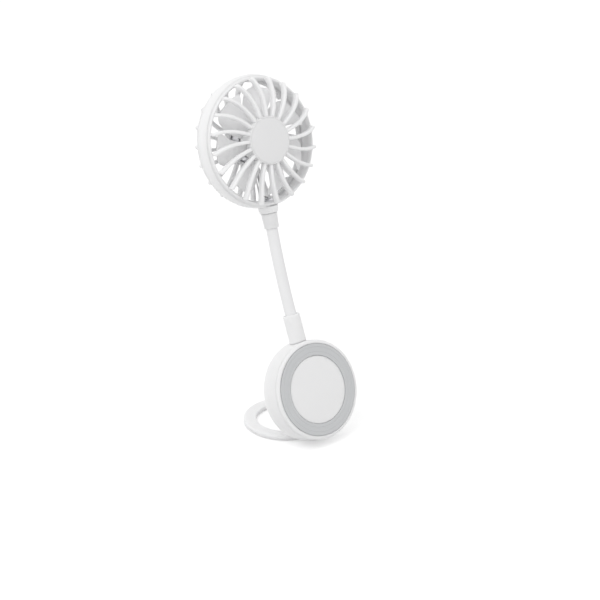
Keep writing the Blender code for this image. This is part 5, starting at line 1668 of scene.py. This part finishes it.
@dataclass
class Studio:
    """The pale floor, the soft lamps and the camera."""

    azimuth: float = -40.3
    elevation: float = 24.88
    distance: float = 1.3645
    lens: float = 144.0
    sensor: float = 36.0
    nearest: float = 0.05
    farthest: float = 60.0
    target: Point = (-0.036795, -0.058330, 0.109544)
    lamp_target: Point = (0.0, 0.0, 0.1)
    key_place: Point = (-0.92, -0.15, 1.55)
    key_size: float = 0.9
    key_power: float = 6.8
    fill_place: Point = (0.9, -1.3, 0.8)
    fill_size: float = 1.2
    fill_power: float = 0.5
    world_strength: float = 0.80
    floor_size: float = 12.0
    floor_grey: float = 0.80
    floor_roughness: float = 0.9
    floor_glow: float = 0.35

    def build(self) -> None:
        """Set up the floor, the light and the camera."""
        scene = bpy.context.scene
        scene.view_settings.view_transform = "Standard"
        self.floor()
        self.world()
        self.lamp("key_lamp", self.key_place, self.key_size, self.key_power)
        self.lamp("fill_lamp", self.fill_place, self.fill_size, self.fill_power)
        self.camera()

    def camera(self) -> None:
        """Put the camera at the photograph's angle."""
        data = bpy.data.cameras.new("camera")
        data.lens = self.lens
        data.sensor_width = self.sensor
        data.clip_start, data.clip_end = self.nearest, self.farthest
        camera = bpy.data.objects.new("camera", data)
        a, e = math.radians(self.azimuth), math.radians(self.elevation)
        back = Vector((math.sin(a) * math.cos(e), -math.cos(a) * math.cos(e), math.sin(e)))
        camera.location = Vector(self.target) + back * self.distance
        camera.rotation_mode = "QUATERNION"
        camera.rotation_quaternion = (-back).to_track_quat("-Z", "Y")
        bpy.context.scene.collection.objects.link(camera)
        bpy.context.scene.camera = camera

    def lamp(self, name: str, place: Point, size: float, power: float) -> None:
        """Add a square lamp that looks at the object.

        Args:
            name: The lamp's name.
            place: Where it is.
            size: Its side.
            power: Its power in watts.
        """
        data = bpy.data.lights.new(name, "AREA")
        data.size, data.energy = size, power
        lamp = bpy.data.objects.new(name, data)
        lamp.location = place
        aim = Vector(self.lamp_target) - Vector(place)
        lamp.rotation_mode = "QUATERNION"
        lamp.rotation_quaternion = aim.to_track_quat("-Z", "Y")
        bpy.context.scene.collection.objects.link(lamp)

    def seen(self, tree: bpy.types.NodeTree) -> bpy.types.NodeSocket:
        """Say whether a ray comes from the camera or by way of a mirror or glass.

        Args:
            tree: The tree that asks.

        Returns:
            1 for such a ray and 0 for any other.
        """
        path = tree.nodes.new("ShaderNodeLightPath")
        total = path.outputs["Is Camera Ray"]
        for name in ("Is Glossy Ray", "Is Transmission Ray"):
            either = tree.nodes.new("ShaderNodeMath")
            either.operation = "MAXIMUM"
            tree.links.new(total, either.inputs[0])
            tree.links.new(path.outputs[name], either.inputs[1])
            total = either.outputs[0]
        return total

    def world(self) -> None:
        """Light everything evenly from all sides, with a white background."""
        world = bpy.data.worlds.new("studio_world")
        bpy.context.scene.world = world
        world.use_nodes = True
        tree = world.node_tree
        light = tree.nodes["Background"]
        light.inputs["Color"].default_value = (1.0, 1.0, 1.0, 1.0)
        light.inputs["Strength"].default_value = self.world_strength
        white = tree.nodes.new("ShaderNodeBackground")
        white.inputs["Strength"].default_value = 1.0
        white.inputs["Color"].default_value = (1.0, 1.0, 1.0, 1.0)
        mix = tree.nodes.new("ShaderNodeMixShader")
        tree.links.new(self.seen(tree), mix.inputs[0])
        tree.links.new(light.outputs[0], mix.inputs[1])
        tree.links.new(white.outputs[0], mix.inputs[2])
        tree.links.new(mix.outputs[0], tree.nodes["World Output"].inputs["Surface"])

    def floor(self) -> None:
        """Lay a plain white floor that keeps the object's shadow."""
        bm = bmesh.new()
        bmesh.ops.create_grid(bm, x_segments=1, y_segments=1, size=self.floor_size)
        floor = new_object("studio_floor", bm)
        material = bpy.data.materials.new("studio_floor")
        material.use_nodes = True
        tree = material.node_tree
        shader = tree.nodes["Principled BSDF"]
        shader.inputs["Base Color"].default_value = (self.floor_grey, self.floor_grey, self.floor_grey, 1.0)
        shader.inputs["Roughness"].default_value = self.floor_roughness
        glow = tree.nodes.new("ShaderNodeEmission")
        glow.inputs["Strength"].default_value = self.floor_glow
        both = tree.nodes.new("ShaderNodeAddShader")
        mix = tree.nodes.new("ShaderNodeMixShader")
        tree.links.new(shader.outputs[0], both.inputs[0])
        tree.links.new(glow.outputs[0], both.inputs[1])
        tree.links.new(self.seen(tree), mix.inputs[0])
        tree.links.new(shader.outputs[0], mix.inputs[1])
        tree.links.new(both.outputs[0], mix.inputs[2])
        tree.links.new(mix.outputs[0], tree.nodes["Material Output"].inputs["Surface"])
        floor.data.materials.append(material)


def dress_solids() -> None:
    """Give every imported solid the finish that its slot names."""
    slots = {part["node"]: part["material_slot"] for part in frame["record"]["subparts"]}
    for name, node in frame["nodes"].items():
        finish = FINISHES[slots[name]]
        node.data.materials.clear()
        node.data.materials.append(finish.material())
        for face in node.data.polygons:
            face.material_index = 0


def main() -> None:
    """Build the studio and every sub-assembly."""
    logging.basicConfig(level=logging.INFO, format="%(name)s: %(message)s")
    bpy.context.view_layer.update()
    Studio().build()
    dress_solids()
    frames = Frames.read()
    Disc(frames.disc).build()
    Stand(frames.joints["stand_hinge"]).build()
    Neck(frames).build()
    Head(frames.head).build()
    Rotor(frames.head).build()


if __name__ == "__main__":
    main()
